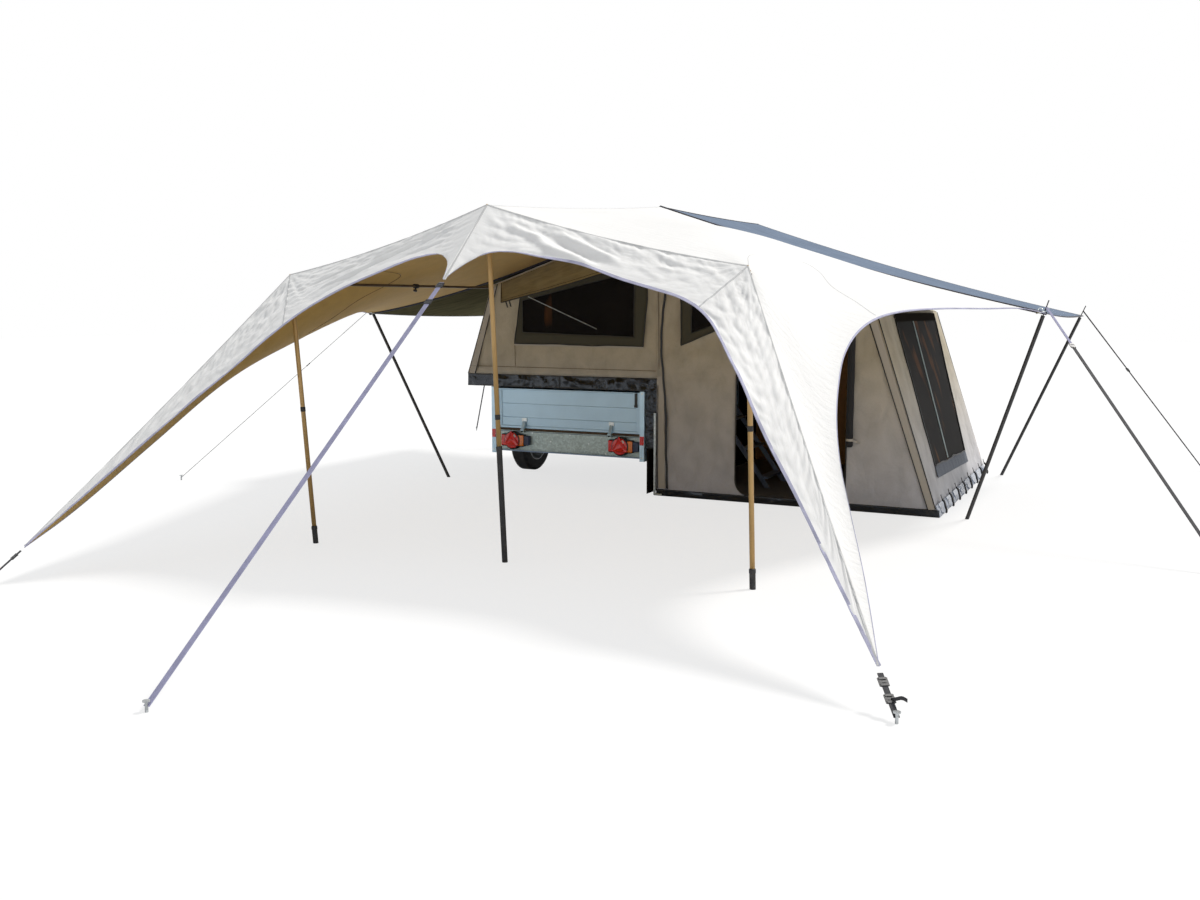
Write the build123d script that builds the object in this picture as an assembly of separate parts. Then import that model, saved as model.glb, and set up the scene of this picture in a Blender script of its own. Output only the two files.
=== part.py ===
"""Folding caravan, pitched: a box trailer that carries a fold-out tent, a fly roof and a sand canopy.

X points to the right seen from behind the tailgate, Y points forward to the tow coupling, Z is up.
Sizes are in millimetres. While the pieces are made, the tent's near wall is at y = 0 and the right
edge of the bed, below the ridge, is at x = 0. At the end everything is moved so that the origin is
at the bottom centre of the whole.
"""
from build123d import *
import os
from math import cos, pi, radians, sin

# Cloth, clearances, and how far a cutter reaches past a face
CANVAS = 5.0
MESH = 2.0
GAP = 0.3
PIN_GAP = 0.05
DOOR_GAP = 5.0
PAST = 1.0
FAR_PAST = 200.0

# Trailer box; the bed reaches out over it on both sides
BED_RIGHT = 0.0
BED_OVERHANG_RIGHT = 115.0
BED_OVERHANG_LEFT = 270.0
BED_OVERHANG_FRONT = 270.0
BOX_WIDTH = 1615.0
BOX_REAR = -20.0
BOX_LENGTH = 2550.0
BOX_FLOOR = 540.0
BOX_HEIGHT = 410.0
SIDE_WALL = 25.0
DECK = 18.0
POST_WIDTH = 45.0
POST_DEPTH = 65.0
POST_BELOW_FLOOR = 238.0
POST_BELOW_TOP = 10.0
PLANK_GROOVE = 3.0
PLANK_HEIGHTS = (0.27, 0.62)

# Chassis and drawbar
RAIL_WIDTH = 50.0
RAIL_HEIGHT = 90.0
RAIL_INSET = 60.0
CROSS_HEIGHT = 40.0
CROSS_COUNT = 4
DRAWBAR_TUBE = 60.0
DRAWBAR_LENGTH = 1180.0
DRAWBAR_UNDER_BOX = 300.0
DRAWBAR_RAIL_GAP = 47.5
DRAWBAR_NOSE = 24.0
COUPLING_LENGTH = 260.0
COUPLING_WIDTH = 76.0
COUPLING_HEIGHT = 90.0
SOCKET_RADIUS = 25.5
SOCKET_DEPTH = 45.0
LEVER_WIDTH = 24.0
LEVER_THICK = 16.0
LEVER_RISE = 60.0
LEVER_FOOT = (10.0, 60.0)
LEVER_OVER_BAR = 20.0

# Wheels, axle and mudguards
WHEEL_RADIUS = 290.0
TYRE_WIDTH = 165.0
TYRE_BORE = 180.0
TYRE_SHOULDER = 22.0
WHEEL_CLEAR = 60.0
AXLE_FROM_REAR = 1000.0
AXLE_TUBE = 60.0
ARM_THICK = 20.0
ARM_HEIGHT = 60.0
ARM_REACH = 130.0
SPINDLE_RADIUS = 15.0
RIM_DISC = 10.0
RIM_DISC_OUT = 30.0
RIM_WALL = 8.0
HUB_RADIUS = 55.0
HUB_INSET_IN = 15.0
HUB_INSET_OUT = 10.0
RIM_HOLE_RADIUS = 22.0
RIM_HOLE_COUNT = 8
GUARD_CLEAR = 45.0
GUARD_THICK = 4.0
GUARD_LIP = 12.0
GUARD_HALF_ANGLE = 78.0

# Rear lamps, lamp plate and tailgate
PLATE_THICK = 3.0
PLATE_HEIGHT = 190.0
PLATE_SEAT = 2.0
PLATE_LIP = 30.0
GATE_FACE = 15.0
GATE_ABOVE_FLOOR = 8.0
GATE_BELOW_TOP = 25.0
GATE_FRAME = 42.0
GATE_RAIL_TOP = 10.0
GATE_RAIL_LOW = 21.0
GATE_PANEL_SINK = 6.0
HINGE_OUT = 40.0
HINGE_BELOW_FLOOR = 5.0
HINGE_PIN = 5.0
HINGE_EYE = 11.0
HINGE_WIDTH = 30.0
HINGE_EAR = 4.0
HINGE_SIDE_GAP = 1.0
HINGE_INSET = 345.0
HINGE_STRAP = 70.0
HINGE_STRAP_THICK = 5.0
LAMP_BODY_WIDTH = 250.0
LAMP_BODY_HEIGHT = 118.0
LAMP_DEPTH = 52.0
LAMP_INSET = 235.0
LAMP_BELOW_FLOOR = 108.0
LAMP_BACK_RADIUS = 88.0
REFLECTOR_SIDE = 165.0
REFLECTOR_THICK = 12.0

# Jockey wheel
JOCKEY_RADIUS = 100.0
JOCKEY_WIDTH = 55.0
JOCKEY_CHAMFER = 8.0
JOCKEY_TRAIL = 45.0
JOCKEY_TUBE = 24.0
JOCKEY_STEM = 12.0
JOCKEY_STEM_REACH = 80.0
JOCKEY_TUBE_LENGTH = 520.0
JOCKEY_FROM_NOSE = 420.0
JOCKEY_FROM_BAR = 14.0
CRANK_RISE = 25.0
CRANK_REACH = 120.0
CRANK_BAR = 10.0
CRANK_GRIP_RADIUS = 11.0
CRANK_GRIP = 90.0
FORK_THICK = 6.0
FORK_SIDE_GAP = 4.0
FORK_ABOVE_WHEEL = 38.0
FORK_HALF_DEPTH = 25.0
FORK_TIP = 18.0
FORK_HEAD_GAP = 1.0
JOCKEY_AXLE = 8.0
CLAMP_HEIGHT = 70.0
CLAMP_HALF_DEPTH = 28.0
CLAMP_WALL = 10.0

# Bed platform over the trailer, its skirt and the mattress
BED_BOARD = 18.0
BED_FRAME = 40.0
BED_FRAME_HEIGHT = 91.7
SKIRT_BELOW_BOX_TOP = 5.0
SKIRT_THICK = 4.0
MATTRESS_THICK = 120.0
MATTRESS_EDGE = 60.0
MATTRESS_SLACK = 30.0
FLAP_LENGTH = 530.0
FLAP_GAP = 8.0
FLAP_Y = 2.0

# Tent body: ridge and eaves over the bed, and where the end walls stand
RIDGE_OVER_BED = 1420.0
BED_EAVE_OVER_BED = 845.0
BED_EAVE_INSET = 270.0
BED_WALL_OUT = 8.0
BED_WALL_LIFT = 2.0
LIVING_FOOT_X = 2490.0
LIVING_EAVE_X = 1935.0
LIVING_EAVE_Z = 1660.0
MUD_FLAP = 60.0
MUD_FLAP_THICK = 3.0
SHEET_THICK = 4.0
SHEET_CLEAR = 40.0

# Windows: corners in x and height over the bed, in x and height over the ridge, in y and height over the bed
BED_WINDOW = ((-1385.0, 405.0), (-230.0, 370.0), (-230.0, 950.0), (-1385.0, 700.0))
SMALL_WINDOW = ((330.0, -1010.0), (700.0, -880.0), (700.0, -450.0), (330.0, -300.0))
BED_END_WINDOW = ((500.0, 240.0), (2300.0, 240.0), (2300.0, 700.0), (500.0, 700.0))
# End window of the living room: distances from the near and far walls, sills, and drop from the eave
END_WINDOW_NEAR = (433.0, 618.0)
END_WINDOW_FAR = (810.0, 240.0)
END_WINDOW_SILLS = (363.0, 320.0)
END_WINDOW_DROP = 70.0
DOOR_LEFT = 750.0
DOOR_WIDTH = 970.0
DOOR_SILL = 62.0
DOOR_HEAD = 46.0
DOOR_CORNER = 130.0
ROLL_RADIUS = 32.0
ROLL_BOTTOM = 540.0

# Awning over the bed window: hinge line on the wall, outer edge in x, y and height over the bed, and its stay
AWNING_HINGE_X = (-1620.0, -910.0, -200.0)
AWNING_DROP = 15.0
AWNING_EDGE = ((-1381.0, -400.0, 677.0), (-860.0, -410.0, 790.0), (-330.0, -400.0, 925.0))
STAY_FOOT = (-604.0, 437.0)
STAY_HEAD_SHARE = 0.55
STAY_RADIUS = 4.0

# Tent frame of steel tube and the ladder inside
BOW_RADIUS = 12.5
BOW_INSET = 60.0
EDGE_TUBE_RADIUS = 11.0
EDGE_TUBE_TOP = 750.0
EDGE_TUBE_FOOT_LENGTH = 70.0
EDGE_TUBE_LIFT = 3.0
LADDER_FOOT_X = 760.0
LADDER_Y = 820.0
LADDER_WIDTH = 500.0
LADDER_STILE = (50.0, 25.0)
LADDER_TREADS = 4
LADDER_FIRST_TREAD = 0.6
TREAD_DEPTH = 90.0
TREAD_THICK = 20.0

# Fly roof
FLY_THICK = 4.0
FLY_NEAR = 50.0
FLY_FAR_INSET = 60.0
FLY_HALF_NEAR = 3222.0
FLY_HALF_FAR = 3340.0
FLY_LIFT_NEAR = 95.0
FLY_LIFT_FAR = 132.0
FLY_DROP_NEAR = 935.0
FLY_DROP_FAR = 997.0
FLY_SAG = 50.0
FLY_STEPS = 6
EYELET_INSET = 20.0
EYELET_LIFT = 6.0

# Poles, straps and pegs
SPIKE_RADIUS = 4.5
SPIKE_HEIGHT = 100.0
SAND_SPIKE_HEIGHT = 35.0
SHOULDER_DROP = 22.0
SAND_POLE_RADIUS = 16.0
BLACK_POLE_RADIUS = 15.0
FOOT_RADIUS = 19.0
FOOT_HEIGHT = 100.0
CENTRE_SLEEVE_HEIGHT = 750.0
STRAP_WIDTH = 25.0
STRAP_THICK = 3.0
STRAP_UP_SPIKE = 45.0
PEG_RADIUS = 7.0
PEG_HEIGHT = 45.0
PEG_HEAD_RADIUS = 16.0
PEG_HEAD_THICK = 6.0
STRAP_AT_PEG = 25.0
BAR_RADIUS = 11.0
BAR_DROP = 60.0
COLLAR_RADIUS = 23.0
COLLAR_HEIGHT = 34.0

# Canopy poles, left, centre and right: tops in x, y and z, feet in x and y
CANOPY_TOP_LEFT = (-1516.0, -3009.0, 1911.0)
CANOPY_TOP_CENTRE = (74.0, -2929.0, 2335.0)
CANOPY_TOP_RIGHT = (1826.0, -2886.0, 1916.0)
CANOPY_FOOT_LEFT = (-1360.0, -3010.0)
CANOPY_FOOT_CENTRE = (180.0, -2930.0)
CANOPY_FOOT_RIGHT = (1890.0, -2890.0)
# Tips of the canopy's tails in x, y and z, the outer two brought onto the front panels, and their pegs
CENTRE_TAIL = (129.0, -3500.0, 1830.0)
RIGHT_TAIL = (3013.0, -4576.0, 155.0)
LEFT_TAIL = (-2179.0, -4731.0, 204.0)
CANOPY_PEG_LEFT = (-2258.0, -4937.0)
CANOPY_PEG_CENTRE = (300.0, -5980.0)
CANOPY_PEG_RIGHT = (3117.0, -4725.0)
# Fly poles: x of the feet, of the pegs, and how far each lies behind the near wall or past the far one
FLY_FOOT_LEFT = -2330.0
FLY_FOOT_RIGHT_NEAR = 2700.0
FLY_FOOT_RIGHT_FAR = 2650.0
FLY_PEG_LEFT_NEAR = -4590.0
FLY_PEG_RIGHT_NEAR = 4450.0
FLY_PEG_FAR = 4500.0
FLY_FEET_NEAR = (110.0, 50.0)
FLY_FEET_FAR = (-100.0, -60.0)
FLY_PEGS_NEAR = -1240.0
FLY_PEGS_FAR = 1200.0
# Scalloped edges of the canopy: start, corner and end of each bend, at the front in x and z, and at
# the sides in y and z; a front's first bend starts at the centre tail
FRONT_RIGHT_BENDS = (
    ((200.0, 2120.0), (600.0, 1985.0)),
    ((1400.0, 1737.0), (1700.0, 1630.0), (2050.0, 1230.0)),
)
FRONT_LEFT_BENDS = (
    ((-30.0, 2140.0), (-450.0, 1940.0)),
    ((-800.0, 1807.0), (-1070.0, 1699.0), (-1400.0, 1260.0)),
)
SIDE_RIGHT_BEND = ((-1550.0, 1672.0), (-2640.0, 1672.0), (-3450.0, 1040.0))
SIDE_LEFT_BEND = ((-600.0, 1640.0), (-2300.0, 1440.0), (-3400.0, 925.0))
CANOPY_THICK = 4.0
CURVE_STEPS = 5

# Places worked out from the sizes above
BED_WIDTH = BED_OVERHANG_LEFT + BOX_WIDTH + BED_OVERHANG_RIGHT
BED_LEFT = BED_RIGHT - BED_WIDTH
BOX_RIGHT = BED_RIGHT - BED_OVERHANG_RIGHT
BOX_LEFT = BOX_RIGHT - BOX_WIDTH
BOX_MID = (BOX_LEFT + BOX_RIGHT) / 2
BOX_FRONT = BOX_REAR + BOX_LENGTH
BOX_TOP = BOX_FLOOR + BOX_HEIGHT
TENT_DEPTH = BOX_FRONT + BED_OVERHANG_FRONT
BED_LOW = BOX_TOP + GAP
BED_TOP = BED_LOW + BED_FRAME_HEIGHT + BED_BOARD
RIDGE_Z = BED_TOP + RIDGE_OVER_BED
BED_FOOT = (BED_LEFT - BED_WALL_OUT, BED_TOP + BED_WALL_LIFT)
BED_EAVE = (BED_LEFT + BED_EAVE_INSET, BED_TOP + BED_EAVE_OVER_BED)
LIVING_FOOT = (LIVING_FOOT_X, 0.0)
LIVING_EAVE = (LIVING_EAVE_X, LIVING_EAVE_Z)
BED_SLOPE = (BED_EAVE[1] - RIDGE_Z) / BED_EAVE[0]
LIVING_SLOPE = (LIVING_EAVE[1] - RIDGE_Z) / LIVING_EAVE[0]
DOOR_RIGHT = DOOR_LEFT + DOOR_WIDTH
DOOR_TOP = RIDGE_Z + LIVING_SLOPE * DOOR_RIGHT - CANVAS - DOOR_HEAD
FAR_Y = TENT_DEPTH - CANVAS
RAIL_TOP = BOX_FLOOR - DECK
RAIL_BOTTOM = RAIL_TOP - RAIL_HEIGHT
FRAME_REAR = GATE_FACE + SIDE_WALL + DOOR_GAP
DRAWBAR_SPREAD = BOX_WIDTH / 2 - RAIL_INSET - RAIL_WIDTH - DRAWBAR_RAIL_GAP - DRAWBAR_TUBE / 2
AXLE_Y = BOX_REAR + AXLE_FROM_REAR
WHEEL_OFFSET = BOX_WIDTH / 2 + WHEEL_CLEAR + TYRE_WIDTH / 2
HINGE_Y = GATE_FACE - HINGE_OUT
HINGE_Z = BOX_FLOOR - HINGE_BELOW_FLOOR
NOSE_Y = BOX_FRONT + DRAWBAR_LENGTH
BAR_TOP = RAIL_TOP - CROSS_HEIGHT - GAP
BAR_LOW = BAR_TOP - DRAWBAR_TUBE
FORK_TOP = 2 * JOCKEY_RADIUS + FORK_ABOVE_WHEEL
CANOPY_TOPS = {
    "left": Vector(*CANOPY_TOP_LEFT),
    "centre": Vector(*CANOPY_TOP_CENTRE),
    "right": Vector(*CANOPY_TOP_RIGHT),
}
CANOPY_FEET = {
    "left": Vector(*CANOPY_FOOT_LEFT, 0),
    "centre": Vector(*CANOPY_FOOT_CENTRE, 0),
    "right": Vector(*CANOPY_FOOT_RIGHT, 0),
}
FAR_PEGS_Y = TENT_DEPTH + FLY_PEGS_FAR
# Side and end of each fly pole, with its foot and its peg
FLY_POLES = (
    ("left", "near", (FLY_FOOT_LEFT, FLY_FEET_NEAR[0]), (FLY_PEG_LEFT_NEAR, FLY_PEGS_NEAR)),
    ("right", "near", (FLY_FOOT_RIGHT_NEAR, FLY_FEET_NEAR[1]), (FLY_PEG_RIGHT_NEAR, FLY_PEGS_NEAR)),
    ("left", "far", (FLY_FOOT_LEFT, TENT_DEPTH + FLY_FEET_FAR[0]), (-FLY_PEG_FAR, FAR_PEGS_Y)),
    ("right", "far", (FLY_FOOT_RIGHT_FAR, TENT_DEPTH + FLY_FEET_FAR[1]), (FLY_PEG_FAR, FAR_PEGS_Y)),
)


def block(x0, x1, y0, y1, z0, z1):
    """A box between two corners, in any order."""
    middle = Pos((x0 + x1) / 2, (y0 + y1) / 2, (z0 + z1) / 2)
    return middle * Box(abs(x1 - x0), abs(y1 - y0), abs(z1 - z0))


def rod(start, end, radius):
    """A round bar from one point to another."""
    start, end = Vector(*start), Vector(*end)
    run = end - start
    low_end = (Align.CENTER, Align.CENTER, Align.MIN)
    return Plane(origin=start, z_dir=run) * Cylinder(radius, run.length, align=low_end)


def bar(start, end, width, thick):
    """A flat bar from one point to another, its width level."""
    start, end = Vector(*start), Vector(*end)
    run = end - start
    level = Vector(-run.Y, run.X, 0)
    low_end = (Align.CENTER, Align.CENTER, Align.MIN)
    return Plane(origin=start, x_dir=level, z_dir=run) * Box(width, thick, run.length, align=low_end)


def prism(points, direction, amount):
    """A flat outline in space, carried along a direction."""
    outline = make_face(Polyline(*points, close=True)).face()
    way = Vector(*direction).normalized()
    if outline.normal_at().dot(way) < 0:
        outline = -outline
    return extrude(outline, amount=amount, dir=way)


def wall_xz(outline, y, thick):
    """An upright wall with its outline in x and z, from y forward."""
    return prism([(x, y, z) for x, z in outline], (0, 1, 0), thick)


def wall_yz(outline, x, thick):
    """An upright wall with its outline in y and z, from x to the right."""
    return prism([(x, y, z) for y, z in outline], (1, 0, 0), thick)


def along_x(x0, x1, y, z, radius):
    """A round bar along X."""
    return rod((min(x0, x1), y, z), (max(x0, x1), y, z), radius)


def skin(edge_a, edge_b, rows, thick):
    """A closed sheet between two edges of as many points, its underside lower by its thickness."""
    down = Vector(0, 0, -thick)
    grid = [[a + (b - a) * (r / rows) for a, b in zip(edge_a, edge_b)] for r in range(rows + 1)]
    last = len(edge_a) - 1
    faces = []
    for r in range(rows):
        for c in range(last):
            corners = grid[r][c], grid[r][c + 1], grid[r + 1][c + 1], grid[r + 1][c]
            for trio in ((0, 1, 2), (0, 2, 3)):
                top = [corners[i] for i in trio]
                faces.append(Face(Wire.make_polygon(top)))
                faces.append(Face(Wire.make_polygon([p + down for p in reversed(top)])))
    rim = [grid[0][c] for c in range(last + 1)]
    rim += [grid[r][last] for r in range(1, rows + 1)]
    rim += [grid[rows][c] for c in range(last - 1, -1, -1)]
    rim += [grid[r][0] for r in range(rows - 1, 0, -1)]
    for p, q in zip(rim, rim[1:] + rim[:1]):
        faces.append(Face(Wire.make_polygon([q, p, p + down, q + down])))
    return Solid(Shell(faces))


def bend(start, corner, end, steps=CURVE_STEPS):
    """Points of a quadratic curve that leaves and arrives along the lines to its corner."""
    points = []
    for i in range(steps + 1):
        t = i / steps
        weights = ((1 - t) ** 2, 2 * t * (1 - t), t * t)
        points.append(tuple(sum(w * p[k] for w, p in zip(weights, (start, corner, end))) for k in (0, 1)))
    return points


def in_plane(corners, axis, values):
    """The point of the plane through three corners whose other two coordinates are given."""
    base = corners[0]
    normal = (corners[1] - base).cross(corners[2] - base)
    n, b = tuple(normal), tuple(base)
    given = [k for k in range(3) if k != axis]
    point = [0.0, 0.0, 0.0]
    for k, value in zip(given, values):
        point[k] = value
    point[axis] = b[axis] - sum(n[k] * (point[k] - b[k]) for k in given) / n[axis]
    return Vector(*point)


def between(start, end, steps):
    """Evenly spaced points on a straight line."""
    return [start + (end - start) * (i / steps) for i in range(steps + 1)]


def joined(pieces):
    """One solid from pieces that touch or overlap."""
    return pieces[0].fuse(*pieces[1:])


def behind_wall(x, z):
    """A large block from just before the tent's near wall backwards, round a place on it, to cut with."""
    return block(x - FAR_PAST, x + FAR_PAST, -GAP, FAR_PAST, z - FAR_PAST, z + FAR_PAST)


def over_bed(corners):
    """Outline corners given by their height over the bed."""
    return [(a, BED_TOP + height) for a, height in corners]


parts = {}


def chassis_frame():
    """Two rails and the cross members between them, under the deck."""
    pieces = []
    for left in (BOX_LEFT + RAIL_INSET, BOX_RIGHT - RAIL_INSET - RAIL_WIDTH):
        pieces.append(block(left, left + RAIL_WIDTH, FRAME_REAR, BOX_FRONT, RAIL_BOTTOM, RAIL_TOP))
    inner_left = BOX_LEFT + RAIL_INSET + RAIL_WIDTH
    inner_right = BOX_RIGHT - RAIL_INSET - RAIL_WIDTH
    step = (BOX_FRONT - FRAME_REAR - RAIL_WIDTH) / (CROSS_COUNT - 1)
    for i in range(CROSS_COUNT):
        y = FRAME_REAR + i * step
        pieces.append(block(inner_left, inner_right, y, y + RAIL_WIDTH, RAIL_TOP - CROSS_HEIGHT, RAIL_TOP))
    return joined(pieces)


parts["chassis_frame"] = chassis_frame()

# Corner posts, walls of grooved planks, and the deck between them
wall_rear = BOX_REAR + POST_DEPTH
wall_front = BOX_FRONT - POST_WIDTH
plate_left = BOX_LEFT + POST_WIDTH
plate_right = BOX_RIGHT - POST_WIDTH
post_top = BOX_TOP - POST_BELOW_TOP
deck = block(BOX_LEFT + SIDE_WALL, BOX_RIGHT - SIDE_WALL, FRAME_REAR, BOX_FRONT - SIDE_WALL,
             RAIL_TOP, BOX_FLOOR)
posts = []
for left in (BOX_LEFT, plate_right):
    posts.append(block(left, left + POST_WIDTH, BOX_REAR, wall_rear, BOX_FLOOR - POST_BELOW_FLOOR, post_top))
    posts.append(block(left, left + POST_WIDTH, wall_front, BOX_FRONT, RAIL_TOP, post_top))
    deck -= posts[-1]
parts["corner_posts"] = Compound(posts)
parts["load_floor"] = deck
groove_levels = [BOX_FLOOR + share * BOX_HEIGHT for share in PLANK_HEIGHTS]
for name, outer, inward in (("side_wall_left", BOX_LEFT, 1), ("side_wall_right", BOX_RIGHT, -1)):
    wall = block(outer, outer + inward * SIDE_WALL, wall_rear, wall_front, RAIL_TOP, BOX_TOP)
    for z in groove_levels:
        wall -= block(outer - PLANK_GROOVE, outer + PLANK_GROOVE, wall_rear, wall_front, z, z + PLANK_GROOVE)
    parts[name] = wall
wall = block(plate_left, plate_right, BOX_FRONT - SIDE_WALL, BOX_FRONT, RAIL_TOP, BOX_TOP)
for z in groove_levels:
    wall -= block(plate_left, plate_right, BOX_FRONT - PLANK_GROOVE, BOX_FRONT + PLANK_GROOVE,
                  z, z + PLANK_GROOVE)
parts["front_wall"] = wall

hinge_places = (BOX_LEFT + HINGE_INSET, BOX_RIGHT - HINGE_INSET)
plate_top = RAIL_TOP - PLATE_SEAT
plate_low = plate_top - PLATE_HEIGHT


def lamp_plate():
    """The folded plate between the rear posts, with its lower lip, top shelf, hinge ears and pins."""
    solid = block(plate_left, plate_right, GATE_FACE, GATE_FACE + PLATE_THICK, plate_low, plate_top)
    solid += block(plate_left, plate_right, GATE_FACE - PLATE_LIP, GATE_FACE + PLATE_THICK,
                   plate_low - PLATE_THICK, plate_low)
    solid += block(plate_left, plate_right, GATE_FACE, FRAME_REAR, plate_top, plate_top + PLATE_THICK)
    for x in hinge_places:
        for side in (-1, 1):
            inner = x + side * (HINGE_WIDTH / 2 + HINGE_SIDE_GAP)
            outer = inner + side * HINGE_EAR
            ear_low = plate_top - HINGE_EYE
            solid += block(inner, outer, HINGE_Y, GATE_FACE, ear_low, plate_top)
            solid += block(inner, outer, HINGE_Y - HINGE_EYE, HINGE_Y + HINGE_EYE, ear_low, HINGE_Z)
            solid += along_x(inner, outer, HINGE_Y, HINGE_Z, HINGE_EYE)
        pin_half = HINGE_WIDTH / 2 + HINGE_SIDE_GAP + HINGE_EAR
        solid += along_x(x - pin_half, x + pin_half, HINGE_Y, HINGE_Z, HINGE_PIN)
    return solid


def tail_lamp(x):
    """A moulded body, a round back and a triangular reflector with a point at its top."""
    middle_z = BOX_FLOOR - LAMP_BELOW_FLOOR
    rear = GATE_FACE - LAMP_DEPTH
    half_width, half_height = LAMP_BODY_WIDTH / 2, LAMP_BODY_HEIGHT / 2
    lamp = block(x - half_width, x + half_width, rear, GATE_FACE,
                 middle_z - half_height, middle_z + half_height)
    lamp += rod((x, rear - REFLECTOR_THICK / 2, middle_z), (x, GATE_FACE, middle_z), LAMP_BACK_RADIUS)
    half = REFLECTOR_SIDE / 2
    rise = REFLECTOR_SIDE * sin(radians(60))
    base = middle_z - rise / 3
    outline = [(x - half, base), (x + half, base), (x, base + rise)]
    return lamp + wall_xz(outline, rear - REFLECTOR_THICK, REFLECTOR_THICK)


def tailgate():
    """A framed panel of planks with its hinge straps, bored for the pins."""
    left, right = plate_left + DOOR_GAP, plate_right - DOOR_GAP
    low, high = BOX_FLOOR + GATE_ABOVE_FLOOR, BOX_TOP - GATE_BELOW_TOP
    panel = GATE_FACE + GATE_PANEL_SINK
    solid = block(left, right, GATE_FACE, GATE_FACE + SIDE_WALL, low, high)
    solid -= block(left + GATE_FRAME, right - GATE_FRAME, GATE_FACE - PAST, panel,
                   low + GATE_RAIL_LOW, high - GATE_RAIL_TOP)
    for share in PLANK_HEIGHTS:
        z = low + share * (high - low)
        solid -= block(left + GATE_FRAME, right - GATE_FRAME, panel - PAST, panel + PLANK_GROOVE,
                       z, z + PLANK_GROOVE)
    for x in hinge_places:
        start = x - HINGE_WIDTH / 2
        solid += wall_yz([
            (panel, low + HINGE_STRAP_THICK),
            (panel, low + HINGE_STRAP),
            (GATE_FACE - HINGE_STRAP_THICK, low + HINGE_STRAP),
            (HINGE_Y - HINGE_EYE / 2, HINGE_Z + HINGE_EYE / 2),
            (HINGE_Y, HINGE_Z),
            (HINGE_Y + HINGE_EYE, HINGE_Z),
        ], start, HINGE_WIDTH)
        solid += along_x(start, start + HINGE_WIDTH, HINGE_Y, HINGE_Z, HINGE_EYE)
        solid -= along_x(start - PAST, start + HINGE_WIDTH + PAST, HINGE_Y, HINGE_Z, HINGE_PIN + PIN_GAP)
    return solid


parts["lamp_plate"] = lamp_plate()
parts["tail_lamps"] = Compound([tail_lamp(BOX_LEFT + LAMP_INSET), tail_lamp(BOX_RIGHT - LAMP_INSET)])
parts["tailgate"] = tailgate()


def axle():
    """A square tube under the rails, a trailing arm on each end and a spindle on each arm."""
    tube_y = AXLE_Y + ARM_REACH
    tube_z = RAIL_BOTTOM - AXLE_TUBE / 2
    reach = BOX_WIDTH / 2 + GAP
    half = ARM_HEIGHT / 2
    pieces = [block(BOX_MID - reach, BOX_MID + reach, tube_y - AXLE_TUBE / 2, tube_y + AXLE_TUBE / 2,
                    tube_z - AXLE_TUBE / 2, tube_z + AXLE_TUBE / 2)]
    for side in (-1, 1):
        inner = BOX_MID + side * reach
        outer = inner + side * ARM_THICK
        arm = wall_yz([
            (tube_y + half, tube_z + half),
            (tube_y + half, tube_z - half),
            (AXLE_Y + ARM_HEIGHT / 3, WHEEL_RADIUS - half),
            (AXLE_Y - half, WHEEL_RADIUS - half),
            (AXLE_Y - half, WHEEL_RADIUS + half),
            (tube_y - half, tube_z + half),
        ], min(inner, outer), ARM_THICK)
        tip = BOX_MID + side * WHEEL_OFFSET
        pieces.append(arm + along_x(outer, tip, AXLE_Y, WHEEL_RADIUS, SPINDLE_RADIUS))
    return joined(pieces)


def turned(profile, y, z):
    """A ring turned about an axis along X through y and z, from its section in x and radius."""
    section = make_face(Polyline(*[(x, y, z + r) for x, r in profile], close=True))
    return revolve(section, axis=Axis((0, y, z), (1, 0, 0)))


def band(middle, width, inner, outer, chamfer):
    """A tyre's half section in x and radius, with cut shoulders."""
    x0, x1 = middle - width / 2, middle + width / 2
    return [
        (x0, inner), (x1, inner), (x1, outer - chamfer), (x1 - chamfer, outer),
        (x0 + chamfer, outer), (x0, outer - chamfer),
    ]


def rim(side):
    """A rim: barrel, holed disc, and a hub with a blind bore for the spindle."""
    middle = BOX_MID + side * WHEEL_OFFSET
    inner, outer = middle - side * TYRE_WIDTH / 2, middle + side * TYRE_WIDTH / 2
    radius = TYRE_BORE - GAP
    solid = turned([
        (inner, radius - RIM_WALL), (outer, radius - RIM_WALL), (outer, radius), (inner, radius),
    ], AXLE_Y, WHEEL_RADIUS)
    disc_out = middle + side * RIM_DISC_OUT
    disc_in = disc_out - side * RIM_DISC
    solid += along_x(disc_in, disc_out, AXLE_Y, WHEEL_RADIUS, radius - RIM_WALL)
    hub_in, hub_out = inner + side * HUB_INSET_IN, outer - side * HUB_INSET_OUT
    solid += along_x(hub_in, hub_out, AXLE_Y, WHEEL_RADIUS, HUB_RADIUS)
    reach = (HUB_RADIUS + radius) / 2
    for i in range(RIM_HOLE_COUNT):
        turn = 2 * pi * i / RIM_HOLE_COUNT
        y, z = AXLE_Y + reach * cos(turn), WHEEL_RADIUS + reach * sin(turn)
        solid -= along_x(disc_in - side * PAST, disc_out + side * PAST, y, z, RIM_HOLE_RADIUS)
    bore_end = middle + side * (PAST + GAP)
    return solid - along_x(hub_in - side * PAST, bore_end, AXLE_Y, WHEEL_RADIUS, SPINDLE_RADIUS + PIN_GAP)


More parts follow.
